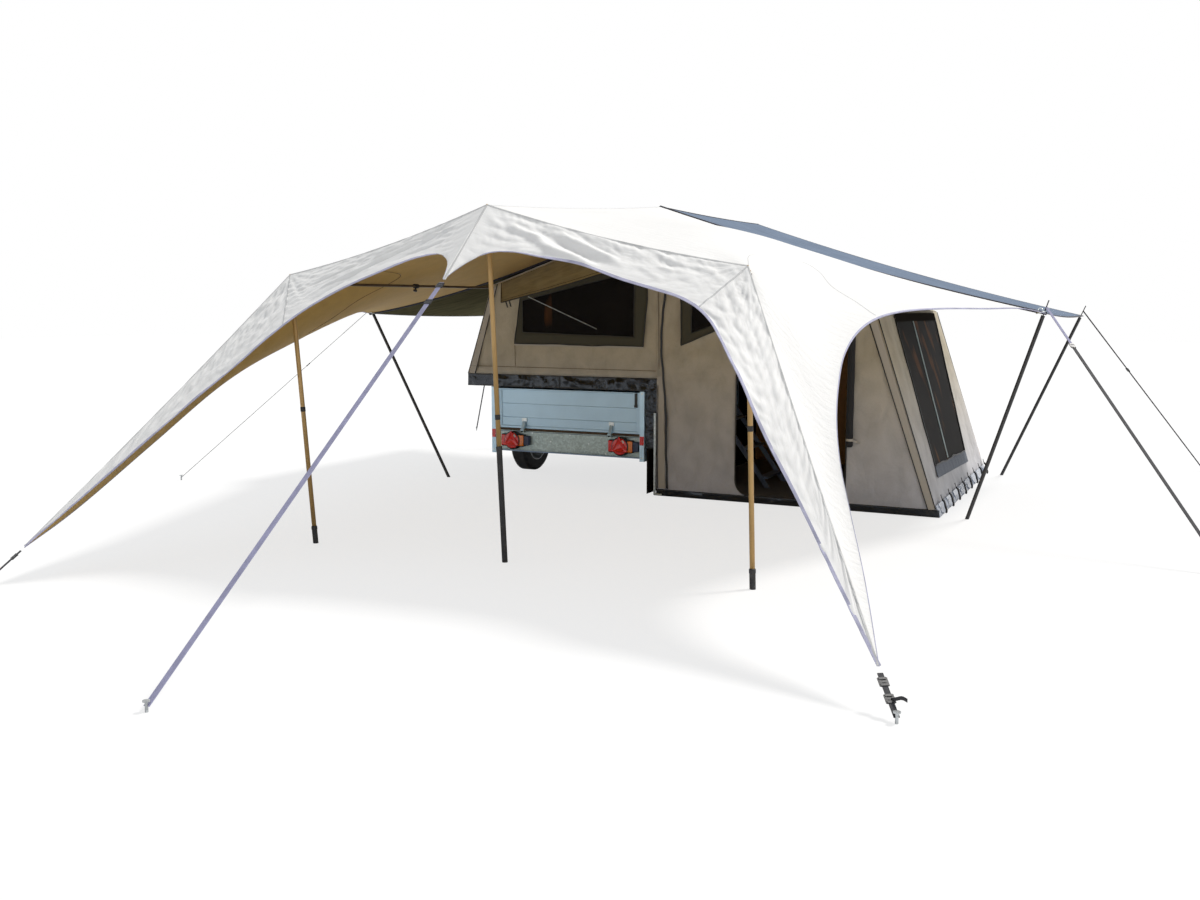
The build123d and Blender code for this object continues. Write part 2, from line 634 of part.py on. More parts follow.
def mudguard(side):
    """An arch over a wheel, fixed to the box side."""
    inner = BOX_MID + side * BOX_WIDTH / 2
    outer = BOX_MID + side * (WHEEL_OFFSET + TYRE_WIDTH / 2 + GUARD_LIP)
    radius = WHEEL_RADIUS + GUARD_CLEAR
    guard = along_x(inner, outer, AXLE_Y, WHEEL_RADIUS, radius + GUARD_THICK)
    guard -= along_x(inner - side * PAST, outer + side * PAST, AXLE_Y, WHEEL_RADIUS, radius)
    reach = 2 * radius
    spread = radians(GUARD_HALF_ANGLE)
    across, up = reach * sin(spread), reach * cos(spread)
    keep = wall_yz([
        (AXLE_Y, WHEEL_RADIUS),
        (AXLE_Y + across, WHEEL_RADIUS + up),
        (AXLE_Y + across, WHEEL_RADIUS + reach),
        (AXLE_Y - across, WHEEL_RADIUS + reach),
        (AXLE_Y - across, WHEEL_RADIUS + up),
    ], min(inner, outer), abs(outer - inner))
    return guard & keep


parts["axle"] = axle()
for side, name in ((-1, "left"), (1, "right")):
    middle = BOX_MID + side * WHEEL_OFFSET
    parts["tyre_" + name] = turned(band(middle, TYRE_WIDTH, TYRE_BORE, WHEEL_RADIUS, TYRE_SHOULDER),
                                   AXLE_Y, WHEEL_RADIUS)
    parts["rim_" + name] = rim(side)
parts["mudguards"] = Compound([mudguard(-1), mudguard(1)])

half_tube = DRAWBAR_TUBE / 2


def drawbar():
    """Two tubes from under the box that meet at the coupling."""
    root_y = BOX_FRONT - DRAWBAR_UNDER_BOX
    legs = []
    for side in (-1, 1):
        root_x = BOX_MID + side * DRAWBAR_SPREAD
        nose_x = BOX_MID + side * DRAWBAR_NOSE
        legs.append(prism([
            (root_x - half_tube, root_y, BAR_LOW), (root_x + half_tube, root_y, BAR_LOW),
            (nose_x + half_tube, NOSE_Y, BAR_LOW), (nose_x - half_tube, NOSE_Y, BAR_LOW),
        ], (0, 0, 1), DRAWBAR_TUBE))
    return joined(legs)


def tow_coupling():
    """A head with a socket for the ball in its underside, and the lever on top."""
    low, high = BAR_LOW, BAR_LOW + COUPLING_HEIGHT
    half = COUPLING_WIDTH / 2
    head = block(BOX_MID - half, BOX_MID + half, NOSE_Y, socket_y, low, high)
    head += rod((BOX_MID, socket_y, low), (BOX_MID, socket_y, high), half)
    head -= rod((BOX_MID, socket_y, low - PAST), (BOX_MID, socket_y, low + SOCKET_DEPTH), SOCKET_RADIUS)
    front, rear = socket_y - LEVER_FOOT[0], socket_y - LEVER_FOOT[1]
    end = NOSE_Y - LEVER_OVER_BAR
    lever = wall_yz([
        (rear, high), (front, high), (front, high + LEVER_THICK), (end, high + LEVER_RISE + LEVER_THICK),
        (end, high + LEVER_RISE), (rear, high + LEVER_THICK - PAST),
    ], BOX_MID - LEVER_WIDTH / 2, LEVER_WIDTH)
    return head + lever


socket_y = NOSE_Y + COUPLING_LENGTH - COUPLING_WIDTH / 2
parts["drawbar"] = drawbar()
parts["tow_coupling"] = tow_coupling()

# Jockey wheel: its tube beside the drawbar's right leg
jockey_y = NOSE_Y - JOCKEY_FROM_NOSE
leg_share = JOCKEY_FROM_NOSE / (DRAWBAR_LENGTH + DRAWBAR_UNDER_BOX)
leg_side = BOX_MID + DRAWBAR_NOSE + (DRAWBAR_SPREAD - DRAWBAR_NOSE) * leg_share + half_tube
jockey_x = leg_side + JOCKEY_FROM_BAR + JOCKEY_TUBE
jockey_wheel_y = jockey_y - JOCKEY_TRAIL


def jockey_tube():
    """The winding tube with its crank, and the clamp that holds it to the drawbar."""
    low, high = FORK_TOP + FORK_HEAD_GAP, FORK_TOP + JOCKEY_TUBE_LENGTH
    tube = rod((jockey_x, jockey_y, low), (jockey_x, jockey_y, high), JOCKEY_TUBE)
    bore_end = FORK_TOP + JOCKEY_STEM_REACH + JOCKEY_STEM
    tube -= rod((jockey_x, jockey_y, low - PAST), (jockey_x, jockey_y, bore_end), JOCKEY_STEM + PIN_GAP)
    arm_z = high + CRANK_RISE
    tube += rod((jockey_x, jockey_y, high), (jockey_x, jockey_y, arm_z), JOCKEY_STEM)
    half = CRANK_BAR
    tube += block(jockey_x - half, jockey_x + CRANK_REACH + half, jockey_y - half, jockey_y + half,
                  arm_z - CRANK_BAR / 2, arm_z + CRANK_BAR / 2)
    grip_x = jockey_x + CRANK_REACH
    tube += rod((grip_x, jockey_y, arm_z), (grip_x, jockey_y, arm_z + CRANK_GRIP), CRANK_GRIP_RADIUS)
    clamp_low = (BAR_LOW + BAR_TOP - CLAMP_HEIGHT) / 2
    clamp = block(leg_side, jockey_x, jockey_y - CLAMP_HALF_DEPTH, jockey_y + CLAMP_HALF_DEPTH,
                  clamp_low, clamp_low + CLAMP_HEIGHT)
    clamp += rod((jockey_x, jockey_y, clamp_low), (jockey_x, jockey_y, clamp_low + CLAMP_HEIGHT),
                 JOCKEY_TUBE + CLAMP_WALL)
    return tube + (clamp - parts["drawbar"])


def jockey_fork():
    """The fork that swivels in the tube, with its stem, two blades and the small wheel's axle."""
    inner_half = JOCKEY_WIDTH / 2 + FORK_SIDE_GAP
    rear, front = jockey_wheel_y - FORK_HALF_DEPTH, jockey_y + FORK_HALF_DEPTH
    plate_z = FORK_TOP - FORK_THICK
    fork = rod((jockey_x, jockey_y, plate_z), (jockey_x, jockey_y, FORK_TOP + JOCKEY_STEM_REACH), JOCKEY_STEM)
    fork += block(jockey_x - inner_half - FORK_THICK, jockey_x + inner_half + FORK_THICK, rear, front,
                  plate_z, FORK_TOP)
    for inner in (jockey_x - inner_half - FORK_THICK, jockey_x + inner_half):
        fork += wall_yz([
            (front, FORK_TOP), (rear, FORK_TOP),
            (jockey_wheel_y - FORK_TIP, JOCKEY_RADIUS - FORK_TIP),
            (jockey_wheel_y + FORK_TIP, JOCKEY_RADIUS - FORK_TIP),
        ], inner, FORK_THICK)
    left, right = jockey_x - inner_half, jockey_x + inner_half
    return fork + along_x(left, right, jockey_wheel_y, JOCKEY_RADIUS, JOCKEY_AXLE)


parts["jockey_tube"] = jockey_tube()
parts["jockey_fork"] = jockey_fork()
small_band = band(jockey_x, JOCKEY_WIDTH, JOCKEY_AXLE + PIN_GAP, JOCKEY_RADIUS, JOCKEY_CHAMFER)
parts["jockey_wheel"] = turned(small_band, jockey_wheel_y, JOCKEY_RADIUS)


def bed_platform():
    """The board over the box on its frame, with a bearer over each side wall."""
    board_low = BED_TOP - BED_BOARD
    solid = block(BED_LEFT, BED_RIGHT, 0, TENT_DEPTH, board_low, BED_TOP)
    ring = block(BED_LEFT, BED_RIGHT, 0, TENT_DEPTH, BED_LOW, board_low)
    ring -= block(BED_LEFT + BED_FRAME, BED_RIGHT - BED_FRAME, BED_FRAME, TENT_DEPTH - BED_FRAME,
                  BED_LOW, board_low)
    solid += ring
    for x in (BOX_LEFT, BOX_RIGHT - SIDE_WALL):
        solid += block(x, x + SIDE_WALL, BED_FRAME, TENT_DEPTH - BED_FRAME, BED_LOW, board_low)
    return solid


def bed_skirt():
    """The coated cloth round three sides of the platform, and the flap beside the box."""
    low = BOX_TOP - SKIRT_BELOW_BOX_TOP
    left = BED_LEFT - SKIRT_THICK
    skirt = block(left, BED_RIGHT, -SKIRT_THICK, 0, low, BED_TOP)
    skirt += block(left, BED_RIGHT, TENT_DEPTH, TENT_DEPTH + SKIRT_THICK, low, BED_TOP)
    skirt += block(left, BED_LEFT, 0, TENT_DEPTH, low, BED_TOP)
    flap = block(BOX_RIGHT + FLAP_GAP, BED_RIGHT, FLAP_Y, FLAP_Y + SKIRT_THICK,
                 BED_LOW - FLAP_LENGTH, BED_LOW)
    return Compound([skirt, flap])


parts["bed_platform"] = bed_platform()
parts["bed_skirt"] = bed_skirt()
mattress_near = MATTRESS_EDGE + MATTRESS_SLACK
parts["mattress"] = block(BED_LEFT + mattress_near, BED_RIGHT - MATTRESS_EDGE, mattress_near,
                          TENT_DEPTH - mattress_near, BED_TOP + GAP, BED_TOP + GAP + MATTRESS_THICK)


def under_roof(foot, eave, x_in):
    """Where an end wall's face, x_in inside its outer face, meets the roof's underside."""
    lean = (eave[0] - foot[0]) / (eave[1] - foot[1])
    slope = (eave[1] - RIDGE_Z) / eave[0]
    x = (foot[0] + x_in + lean * (RIDGE_Z - CANVAS - foot[1])) / (1 - lean * slope)
    return x, RIDGE_Z - CANVAS + slope * x


def end_section(foot, eave, inward):
    """Cross-section of a leaning end wall in x and z, with its top cut to the roof's underside."""
    x_in = inward * CANVAS
    return [foot, (foot[0] + x_in, foot[1]), under_roof(foot, eave, x_in), under_roof(foot, eave, 0)]


def door_outline():
    """The doorway with rounded lower corners, in x and z."""
    outline = [(DOOR_LEFT, DOOR_TOP), (DOOR_RIGHT, DOOR_TOP)]
    for centre_x, first in ((DOOR_RIGHT - DOOR_CORNER, 0), (DOOR_LEFT + DOOR_CORNER, -90)):
        for i in range(CURVE_STEPS + 1):
            angle = radians(first - 90 * i / CURVE_STEPS)
            z = DOOR_SILL + DOOR_CORNER + DOOR_CORNER * sin(angle)
            outline.append((centre_x + DOOR_CORNER * cos(angle), z))
    return outline


def gable(outline, y, door, window, mesh_y):
    """A gable wall with its openings cut, and the mesh sheet of its window."""
    solid = wall_xz(outline, y, CANVAS)
    for hole in door + [window]:
        solid -= wall_xz(hole, y - PAST, CANVAS + 2 * PAST)
    meshes.append(wall_xz(window, mesh_y, MESH))
    return solid


def end_wall(foot, eave, inward, window):
    """A leaning end wall with one mesh window cut square to the wall's plan."""
    solid = wall_xz(end_section(foot, eave, inward), 0, TENT_DEPTH)
    low_x, high_x = min(foot[0], eave[0]) - FAR_PAST, max(foot[0], eave[0]) + FAR_PAST
    hole = wall_yz(window, low_x, high_x - low_x)
    lean = (eave[0] - foot[0]) / (eave[1] - foot[1])
    low, high = min(z for y, z in window) - PAST, max(z for y, z in window) + PAST
    sheet = []
    for z, offset in ((low, GAP), (low, GAP + MESH), (high, GAP + MESH), (high, GAP)):
        sheet.append((foot[0] + lean * (z - foot[1]) + inward * offset, z))
    meshes.append(wall_xz(sheet, 0, TENT_DEPTH) & hole)
    return solid - hole


meshes = []
bed_section = end_section(BED_FOOT, BED_EAVE, 1)
living_section = end_section(LIVING_FOOT, LIVING_EAVE, -1)
ridge_point = (0, RIDGE_Z - CANVAS)
bed_outline = [bed_section[1], (BED_RIGHT, BED_FOOT[1]), ridge_point, bed_section[2]]
living_outline = [(0, 0), living_section[1], living_section[2], ridge_point]
bed_window = over_bed(BED_WINDOW)
small_window = [(x, RIDGE_Z + height) for x, height in SMALL_WINDOW]
window_head = LIVING_EAVE_Z - END_WINDOW_DROP
end_window = [
    (END_WINDOW_NEAR[0], END_WINDOW_SILLS[0]), (TENT_DEPTH - END_WINDOW_FAR[0], END_WINDOW_SILLS[1]),
    (TENT_DEPTH - END_WINDOW_FAR[1], window_head), (END_WINDOW_NEAR[1], window_head),
]
far_mesh_y = TENT_DEPTH - GAP - MESH
parts["near_wall_bed"] = gable(bed_outline, 0, [], bed_window, GAP)
parts["near_wall_living"] = gable(living_outline, 0, [door_outline()], small_window, GAP)
parts["far_wall_bed"] = gable(bed_outline, FAR_Y, [], bed_window, far_mesh_y)
parts["far_wall_living"] = gable(living_outline, FAR_Y, [], small_window, far_mesh_y)
parts["bed_end_wall"] = end_wall(BED_FOOT, BED_EAVE, 1, over_bed(BED_END_WINDOW))
parts["living_end_wall"] = end_wall(LIVING_FOOT, LIVING_EAVE, -1, end_window)
parts["window_mesh"] = Compound(meshes)
parts["tent_roof"] = wall_xz([
    (BED_EAVE[0], BED_EAVE[1] - CANVAS), ridge_point, (LIVING_EAVE[0], LIVING_EAVE[1] - CANVAS),
    LIVING_EAVE, (0, RIDGE_Z), BED_EAVE,
], 0, TENT_DEPTH)

# Rolled door beside the doorway
roll_x, roll_y = DOOR_RIGHT + ROLL_RADIUS, -ROLL_RADIUS - GAP
parts["door_roll"] = rod((roll_x, roll_y, ROLL_BOTTOM), (roll_x, roll_y, DOOR_TOP), ROLL_RADIUS)


def ground_sheet():
    """The living room's floor cloth, cut out round the trailer's right wheel."""
    sheet = block(BED_RIGHT, LIVING_FOOT[0] - 2 * CANVAS, CANVAS, FAR_Y, 0, SHEET_THICK)
    notch_x = BOX_MID + WHEEL_OFFSET + TYRE_WIDTH / 2 + SHEET_CLEAR
    notch = WHEEL_RADIUS + SHEET_CLEAR
    return sheet - block(BED_RIGHT - PAST, notch_x, AXLE_Y - notch, AXLE_Y + notch, -PAST, SHEET_THICK + PAST)


def mud_flaps():
    """The coated strip outside the foot of the living room's three walls."""
    right = LIVING_FOOT[0]
    outer_near, outer_far = -MUD_FLAP_THICK, TENT_DEPTH + MUD_FLAP_THICK
    flaps = block(BED_RIGHT, right, outer_near, 0, 0, MUD_FLAP)
    flaps += block(BED_RIGHT, right, TENT_DEPTH, outer_far, 0, MUD_FLAP)
    return flaps + block(right, right + MUD_FLAP_THICK, outer_near, outer_far, 0, MUD_FLAP)


parts["ground_sheet"] = ground_sheet()
parts["mud_flaps"] = mud_flaps()


def bow(x_foot, z_foot, x_top, z_top):
    """A bow across the tent: two legs and a top rail with round elbows, its feet cut level."""
    near, far = BOW_INSET, TENT_DEPTH - BOW_INSET
    corners = [(x_foot, near, z_foot), (x_top, near, z_top), (x_top, far, z_top), (x_foot, far, z_foot)]
    solid = joined([rod(p, q, BOW_RADIUS) for p, q in zip(corners, corners[1:])])
    for p in corners[1:3]:
        solid += Pos(*p) * Sphere(BOW_RADIUS)
    return solid - block(x_foot - FAR_PAST, x_foot + FAR_PAST, -FAR_PAST, TENT_DEPTH + FAR_PAST,
                         z_foot - FAR_PAST, z_foot)


def edge_tube():
    """The upright at the platform's right edge, turned to the right at the ground."""
    x, y = BED_RIGHT - EDGE_TUBE_RADIUS - GAP, -EDGE_TUBE_RADIUS - MUD_FLAP_THICK - GAP
    z = EDGE_TUBE_RADIUS + EDGE_TUBE_LIFT
    solid = rod((x, y, z), (x, y, EDGE_TUBE_TOP), EDGE_TUBE_RADIUS)
    solid += Pos(x, y, z) * Sphere(EDGE_TUBE_RADIUS)
    return solid + rod((x, y, z), (x + EDGE_TUBE_FOOT_LENGTH, y, z), EDGE_TUBE_RADIUS)


def awning_stay():
    """The thin bar from the window's face out to the awning's edge."""
    foot = Vector(STAY_FOOT[0], CANVAS, BED_TOP + STAY_FOOT[1])
    head = awning_edge[0] + (awning_edge[1] - awning_edge[0]) * STAY_HEAD_SHARE
    head += Vector(0, CANVAS, -CANVAS - STAY_RADIUS - GAP)
    return rod(foot, head, STAY_RADIUS) - behind_wall(foot.X, foot.Z)


awning_edge = [Vector(x, y, BED_TOP + height) for x, y, height in AWNING_EDGE]
awning_hinge = [Vector(x, -GAP, RIDGE_Z - CANVAS + BED_SLOPE * x - AWNING_DROP) for x in AWNING_HINGE_X]
parts["window_awning"] = skin(awning_hinge, awning_edge, 1, CANVAS)
inset = CANVAS + 2 * BOW_RADIUS
bow_drop = inset + BOW_RADIUS
parts["tent_frame"] = Compound([
    bow(BED_FOOT[0] + inset, BED_TOP + GAP, BED_EAVE[0] + inset, BED_EAVE[1] - bow_drop),
    bow(BED_RIGHT - inset, BED_TOP + GAP, BED_RIGHT, RIDGE_Z - inset),
    bow(LIVING_FOOT[0] - 2 * inset, SHEET_THICK + GAP, LIVING_EAVE[0] - inset, LIVING_EAVE[1] - inset),
    edge_tube(),
    awning_stay(),
])


def ladder():
    """Two stiles from the platform down to the ground sheet, and the treads between them."""
    stile_wide, stile_thick = LADDER_STILE
    top_x, foot_z = BED_RIGHT + GAP, SHEET_THICK + GAP
    pieces = []
    for y in (LADDER_Y, LADDER_Y + LADDER_WIDTH):
        pieces.append(wall_xz([
            (top_x, BED_TOP), (top_x + stile_wide, BED_TOP), (LADDER_FOOT_X + stile_wide, foot_z),
            (LADDER_FOOT_X, foot_z),
        ], y, stile_thick))
    for i in range(LADDER_TREADS):
        share = (i + LADDER_FIRST_TREAD) / LADDER_TREADS
        z = BED_TOP - share * (BED_TOP - foot_z)
        x = top_x + share * (LADDER_FOOT_X - top_x)
        pieces.append(block(x, x + TREAD_DEPTH, LADDER_Y + stile_thick, LADDER_Y + LADDER_WIDTH,
                            z - TREAD_THICK, z))
    return joined(pieces)


parts["ladder"] = ladder()


def fly_edge(along, side):
    """One half of the fly's cross edge, from the ridge out with its sag; along is 0 near and 1 far."""
    y = FLY_NEAR + (TENT_DEPTH - FLY_FAR_INSET - FLY_NEAR) * along
    half = FLY_HALF_NEAR + (FLY_HALF_FAR - FLY_HALF_NEAR) * along
    high = RIDGE_Z + FLY_LIFT_NEAR + (FLY_LIFT_FAR - FLY_LIFT_NEAR) * along
    drop = FLY_DROP_NEAR + (FLY_DROP_FAR - FLY_DROP_NEAR) * along
    points = []
    for i in range(FLY_STEPS + 1):
        t = i / FLY_STEPS
        points.append(Vector(side * half * t, y, high - drop * t - 4 * FLY_SAG * t * (1 - t)))
    return points


def flat_panel(points):
    """A flat cloth panel: its outline carried straight down by its thickness."""
    return prism(points, (0, 0, -1), CANOPY_THICK)


def front_panel(pole_top, tail, bends):
    """A front panel from the centre pole to a side pole and its tail, with a scalloped lower edge."""
    plane = (top_c, pole_top, centre_tail)
    near_tail, far_scallop = bends
    edge = bend((centre_tail.X, centre_tail.Z), *near_tail)[1:] + bend(*far_scallop)
    return flat_panel([pole_top, top_c, centre_tail] + [in_plane(plane, 1, p) for p in edge] + [tail])


def side_panel(pole_top, corner, tail, scallop):
    """A side panel from a side pole to the fly's corner and the tail, with a scalloped lower edge."""
    plane = (pole_top, corner, tail)
    return flat_panel([pole_top, corner] + [in_plane(plane, 0, p) for p in bend(*scallop)] + [tail])


edges = {}
for side, sign in (("left", -1), ("right", 1)):
    for end, along in (("near", 0), ("far", 1)):
        edges[side, end] = fly_edge(along, sign)
top_l, top_c, top_r = (CANOPY_TOPS[k] for k in ("left", "centre", "right"))
corner_l, corner_r = edges["left", "near"][-1], edges["right", "near"][-1]
centre_tail = Vector(*CENTRE_TAIL)
tail_l = in_plane((top_c, top_l, centre_tail), 1, (LEFT_TAIL[0], LEFT_TAIL[2]))
tail_r = in_plane((top_c, top_r, centre_tail), 1, (RIGHT_TAIL[0], RIGHT_TAIL[2]))
cloth = {
    "canopy_top_left": skin(edges["left", "near"], between(top_c, top_l, FLY_STEPS), 1, CANOPY_THICK),
    "canopy_top_right": skin(edges["right", "near"], between(top_c, top_r, FLY_STEPS), 1, CANOPY_THICK),
    "canopy_front_left": front_panel(top_l, tail_l, FRONT_LEFT_BENDS),
    "canopy_front_right": front_panel(top_r, tail_r, FRONT_RIGHT_BENDS),
    "canopy_side_left": side_panel(top_l, corner_l, tail_l, SIDE_LEFT_BEND),
    "canopy_side_right": side_panel(top_r, corner_r, tail_r, SIDE_RIGHT_BEND),
    "fly_roof_left": skin(edges["left", "near"], edges["left", "far"], 2, FLY_THICK),
    "fly_roof_right": skin(edges["right", "near"], edges["right", "far"], 2, FLY_THICK),
}


def above_ground(solid, foot):
    """A pole's lower end, cut level with the ground."""
    return solid - block(foot.X - FAR_PAST, foot.X + FAR_PAST, foot.Y - FAR_PAST, foot.Y + FAR_PAST,
                         -FAR_PAST, 0)


def topped(body, top, along, spike_height):
    """A pole's body with the thin spike that goes up through the cloth's eyelet."""
    return body + rod(top - along * SHOULDER_DROP, top + along * spike_height, SPIKE_RADIUS)


sand_poles, sleeves, black_poles, eyelets, fly_spikes = [], [], [], [], []
for key in ("left", "centre", "right"):
    top, foot = CANOPY_TOPS[key], CANOPY_FEET[key]
    along = (top - foot).normalized()
    height = CENTRE_SLEEVE_HEIGHT if key == "centre" else FOOT_HEIGHT
    sleeves.append(above_ground(rod(foot - along * FOOT_RADIUS, foot + along * height, FOOT_RADIUS), foot))
    body = rod(foot + along * height, top - along * SHOULDER_DROP, SAND_POLE_RADIUS)
    sand_poles.append(topped(body, top, along, SAND_SPIKE_HEIGHT))
    eyelets.append((top, along))
for side, end, foot_xy, peg_xy in FLY_POLES:
    inward = Vector(EYELET_INSET if side == "left" else -EYELET_INSET,
                    EYELET_INSET if end == "near" else -EYELET_INSET, EYELET_LIFT)
    top = edges[side, end][-1] + inward
    foot = Vector(*foot_xy, 0)
    along = (top - foot).normalized()
    body = rod(foot - along * BLACK_POLE_RADIUS, top - along * SHOULDER_DROP, BLACK_POLE_RADIUS)
    black_poles.append(topped(above_ground(body, foot), top, along, SPIKE_HEIGHT))
    eyelets.append((top, along))
    fly_spikes.append((top, along, Vector(*peg_xy, 0)))
for name in cloth:
    reach = cloth[name].bounding_box()
    for top, along in eyelets:
        if reach.min.X - FOOT_HEIGHT < top.X < reach.max.X + FOOT_HEIGHT:
            half = along * SPIKE_HEIGHT / 2
            cloth[name] -= rod(top - half, top + half, SPIKE_RADIUS + GAP)
parts.update(cloth)
parts["canopy_poles"] = Compound(sand_poles)
parts["pole_sleeves"] = Compound(sleeves)
parts["fly_poles"] = Compound(black_poles)

# Level bars from the canopy poles back to the tent: pole, and its end on the tent in x and z
bar_ends = (
    ("left", BED_EAVE[0] + EYELET_INSET, BED_EAVE[1] - 2 * BAR_RADIUS),
    ("centre", 0, RIDGE_Z - 2 * BAR_RADIUS),
    ("right", LIVING_EAVE[0] - EYELET_INSET, LIVING_EAVE[1] - 2 * BAR_RADIUS),
)


def roof_bar(key, x, z):
    """A tube with a collar round the pole, cut off just clear of the tent's near wall."""
    top, foot = CANOPY_TOPS[key], CANOPY_FEET[key]
    along = (top - foot).normalized()
    start = top - along * BAR_DROP
    end = Vector(x, 0, z)
    collar = rod(start - along * COLLAR_HEIGHT / 2, start + along * COLLAR_HEIGHT / 2, COLLAR_RADIUS)
    tube = rod(start, end, BAR_RADIUS) + collar
    tube -= rod(start - along * COLLAR_HEIGHT, start + along * COLLAR_HEIGHT, SAND_POLE_RADIUS + GAP)
    return tube - behind_wall(x, z)


parts["roof_bars"] = Compound([roof_bar(*row) for row in bar_ends])


def peg(place):
    """The part of a peg above the ground, with its round head."""
    cap = place + Vector(0, 0, PEG_HEIGHT)
    return rod(place, cap, PEG_RADIUS) + rod(cap, cap + Vector(0, 0, PEG_HEAD_THICK), PEG_HEAD_RADIUS)


def strap(start, place):
    """A taut strap that starts just clear of its holder and is notched round its peg."""
    end = place + Vector(0, 0, STRAP_AT_PEG)
    out = (end - start).normalized()
    solid = bar(start + out * GAP, end, STRAP_WIDTH, STRAP_THICK)
    return solid - rod(place, place + Vector(0, 0, PEG_HEIGHT), PEG_RADIUS + GAP)


straps, pegs = [], []
for top, along, place in fly_spikes:
    at_spike = top + along * STRAP_UP_SPIKE
    spike = rod(top, top + along * SPIKE_HEIGHT, SPIKE_RADIUS + GAP)
    straps.append(strap(at_spike, place) - spike)
    pegs.append(peg(place))
canopy_tails = ((tail_l, CANOPY_PEG_LEFT), (centre_tail, CANOPY_PEG_CENTRE), (tail_r, CANOPY_PEG_RIGHT))
for tip, peg_xy in canopy_tails:
    place = Vector(*peg_xy, 0)
    straps.append(strap(tip - Vector(0, 0, CANOPY_THICK), place))
    pegs.append(peg(place))
parts["guy_straps"] = Compound(straps)
parts["ground_pegs"] = Compound(pegs)

# Move all to the bottom centre of the whole, and write each piece
bounds = [shape.bounding_box() for shape in parts.values()]
centre_x = round((min(b.min.X for b in bounds) + max(b.max.X for b in bounds)) / 2)
centre_y = round((min(b.min.Y for b in bounds) + max(b.max.Y for b in bounds)) / 2)
os.makedirs("parts", exist_ok=True)
for name, shape in parts.items():
    solids = [Pos(-centre_x, -centre_y, 0) * solid for solid in shape.solids()]
    export_step(solids[0] if len(solids) == 1 else Compound(solids), f"parts/{name}.step")
print(len(parts), "nodes, centre", centre_x, centre_y)
print("axle", AXLE_Y - centre_y, "jockey", jockey_x - centre_x, jockey_y - centre_y, JOCKEY_TRAIL)
print("socket", BOX_MID - centre_x, socket_y - centre_y, BAR_LOW, "hinge", HINGE_Y - centre_y, HINGE_Z)
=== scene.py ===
"""Folding caravan with its tent and canopy pitched: the finish of every piece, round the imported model.

Sizes are in metres. Pieces are worked out in tent coordinates and moved by TENT_ORIGIN at the end:
x points right seen from behind the tailgate, y points forward from the tent's near wall, z is up, and
x = 0 is the right edge of the bed, below the ridge.
"""
from math import cos, pi, radians, sin

import bmesh
import bpy
import numpy as np
from bpy.props import FloatProperty, FloatVectorProperty, IntProperty, PointerProperty
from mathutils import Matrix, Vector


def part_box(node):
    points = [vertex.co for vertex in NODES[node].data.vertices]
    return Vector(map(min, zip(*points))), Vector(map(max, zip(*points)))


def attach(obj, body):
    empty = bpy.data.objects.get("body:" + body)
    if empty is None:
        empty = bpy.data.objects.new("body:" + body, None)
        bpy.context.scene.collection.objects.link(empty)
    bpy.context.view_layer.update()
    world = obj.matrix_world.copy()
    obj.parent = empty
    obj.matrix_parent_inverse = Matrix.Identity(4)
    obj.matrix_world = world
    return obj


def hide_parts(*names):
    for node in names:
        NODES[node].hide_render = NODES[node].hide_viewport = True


bl_info = {
    "name": "Folding caravan",
    "version": (1, 0, 0),
    "blender": (4, 5, 0),
    "location": "3D View > Sidebar > Caravan",
    "description": "Adds the cloth, fittings and finishes of a pitched folding caravan",
    "category": "Add Mesh",
}

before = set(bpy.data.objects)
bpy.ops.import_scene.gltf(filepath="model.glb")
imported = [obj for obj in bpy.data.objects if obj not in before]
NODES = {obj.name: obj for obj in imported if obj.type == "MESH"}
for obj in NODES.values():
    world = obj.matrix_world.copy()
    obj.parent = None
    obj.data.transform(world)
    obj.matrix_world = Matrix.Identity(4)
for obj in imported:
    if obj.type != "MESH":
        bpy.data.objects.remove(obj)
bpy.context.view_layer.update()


def model_box(node):
    """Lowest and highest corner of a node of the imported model, as arrays."""
    low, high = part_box(node)
    return np.array(low), np.array(high)


bed_low, bed_high = model_box("bed_platform")
TENT_ORIGIN = np.array((bed_high[0], bed_low[1], 0.0))


def tent_box(node):
    """Lowest and highest corner of a node in tent coordinates."""
    low, high = model_box(node)
    return low - TENT_ORIGIN, high - TENT_ORIGIN


# Main places of the tent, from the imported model
BED_LEFT, BED_TOP = tent_box("bed_platform")[0][0], tent_box("bed_platform")[1][2]
TENT_DEPTH = tent_box("bed_platform")[1][1]
RIDGE = tent_box("tent_roof")[1][2]
BED_EAVE = np.array((tent_box("tent_roof")[0][0], BED_TOP + 0.845))
BED_FOOT = np.array((BED_LEFT - 0.008, BED_TOP + 0.002))
LIVING_EAVE = np.array((tent_box("tent_roof")[1][0], 1.660))
LIVING_FOOT = np.array((tent_box("living_end_wall")[1][0], 0.0))
BOX_LOW, BOX_HIGH = tent_box("side_wall_left")[0], tent_box("side_wall_right")[1]
CANVAS = 0.005
SKIRT_LOW = BED_TOP - 0.115
FLAP_LOW = tent_box("bed_skirt")[0][2]

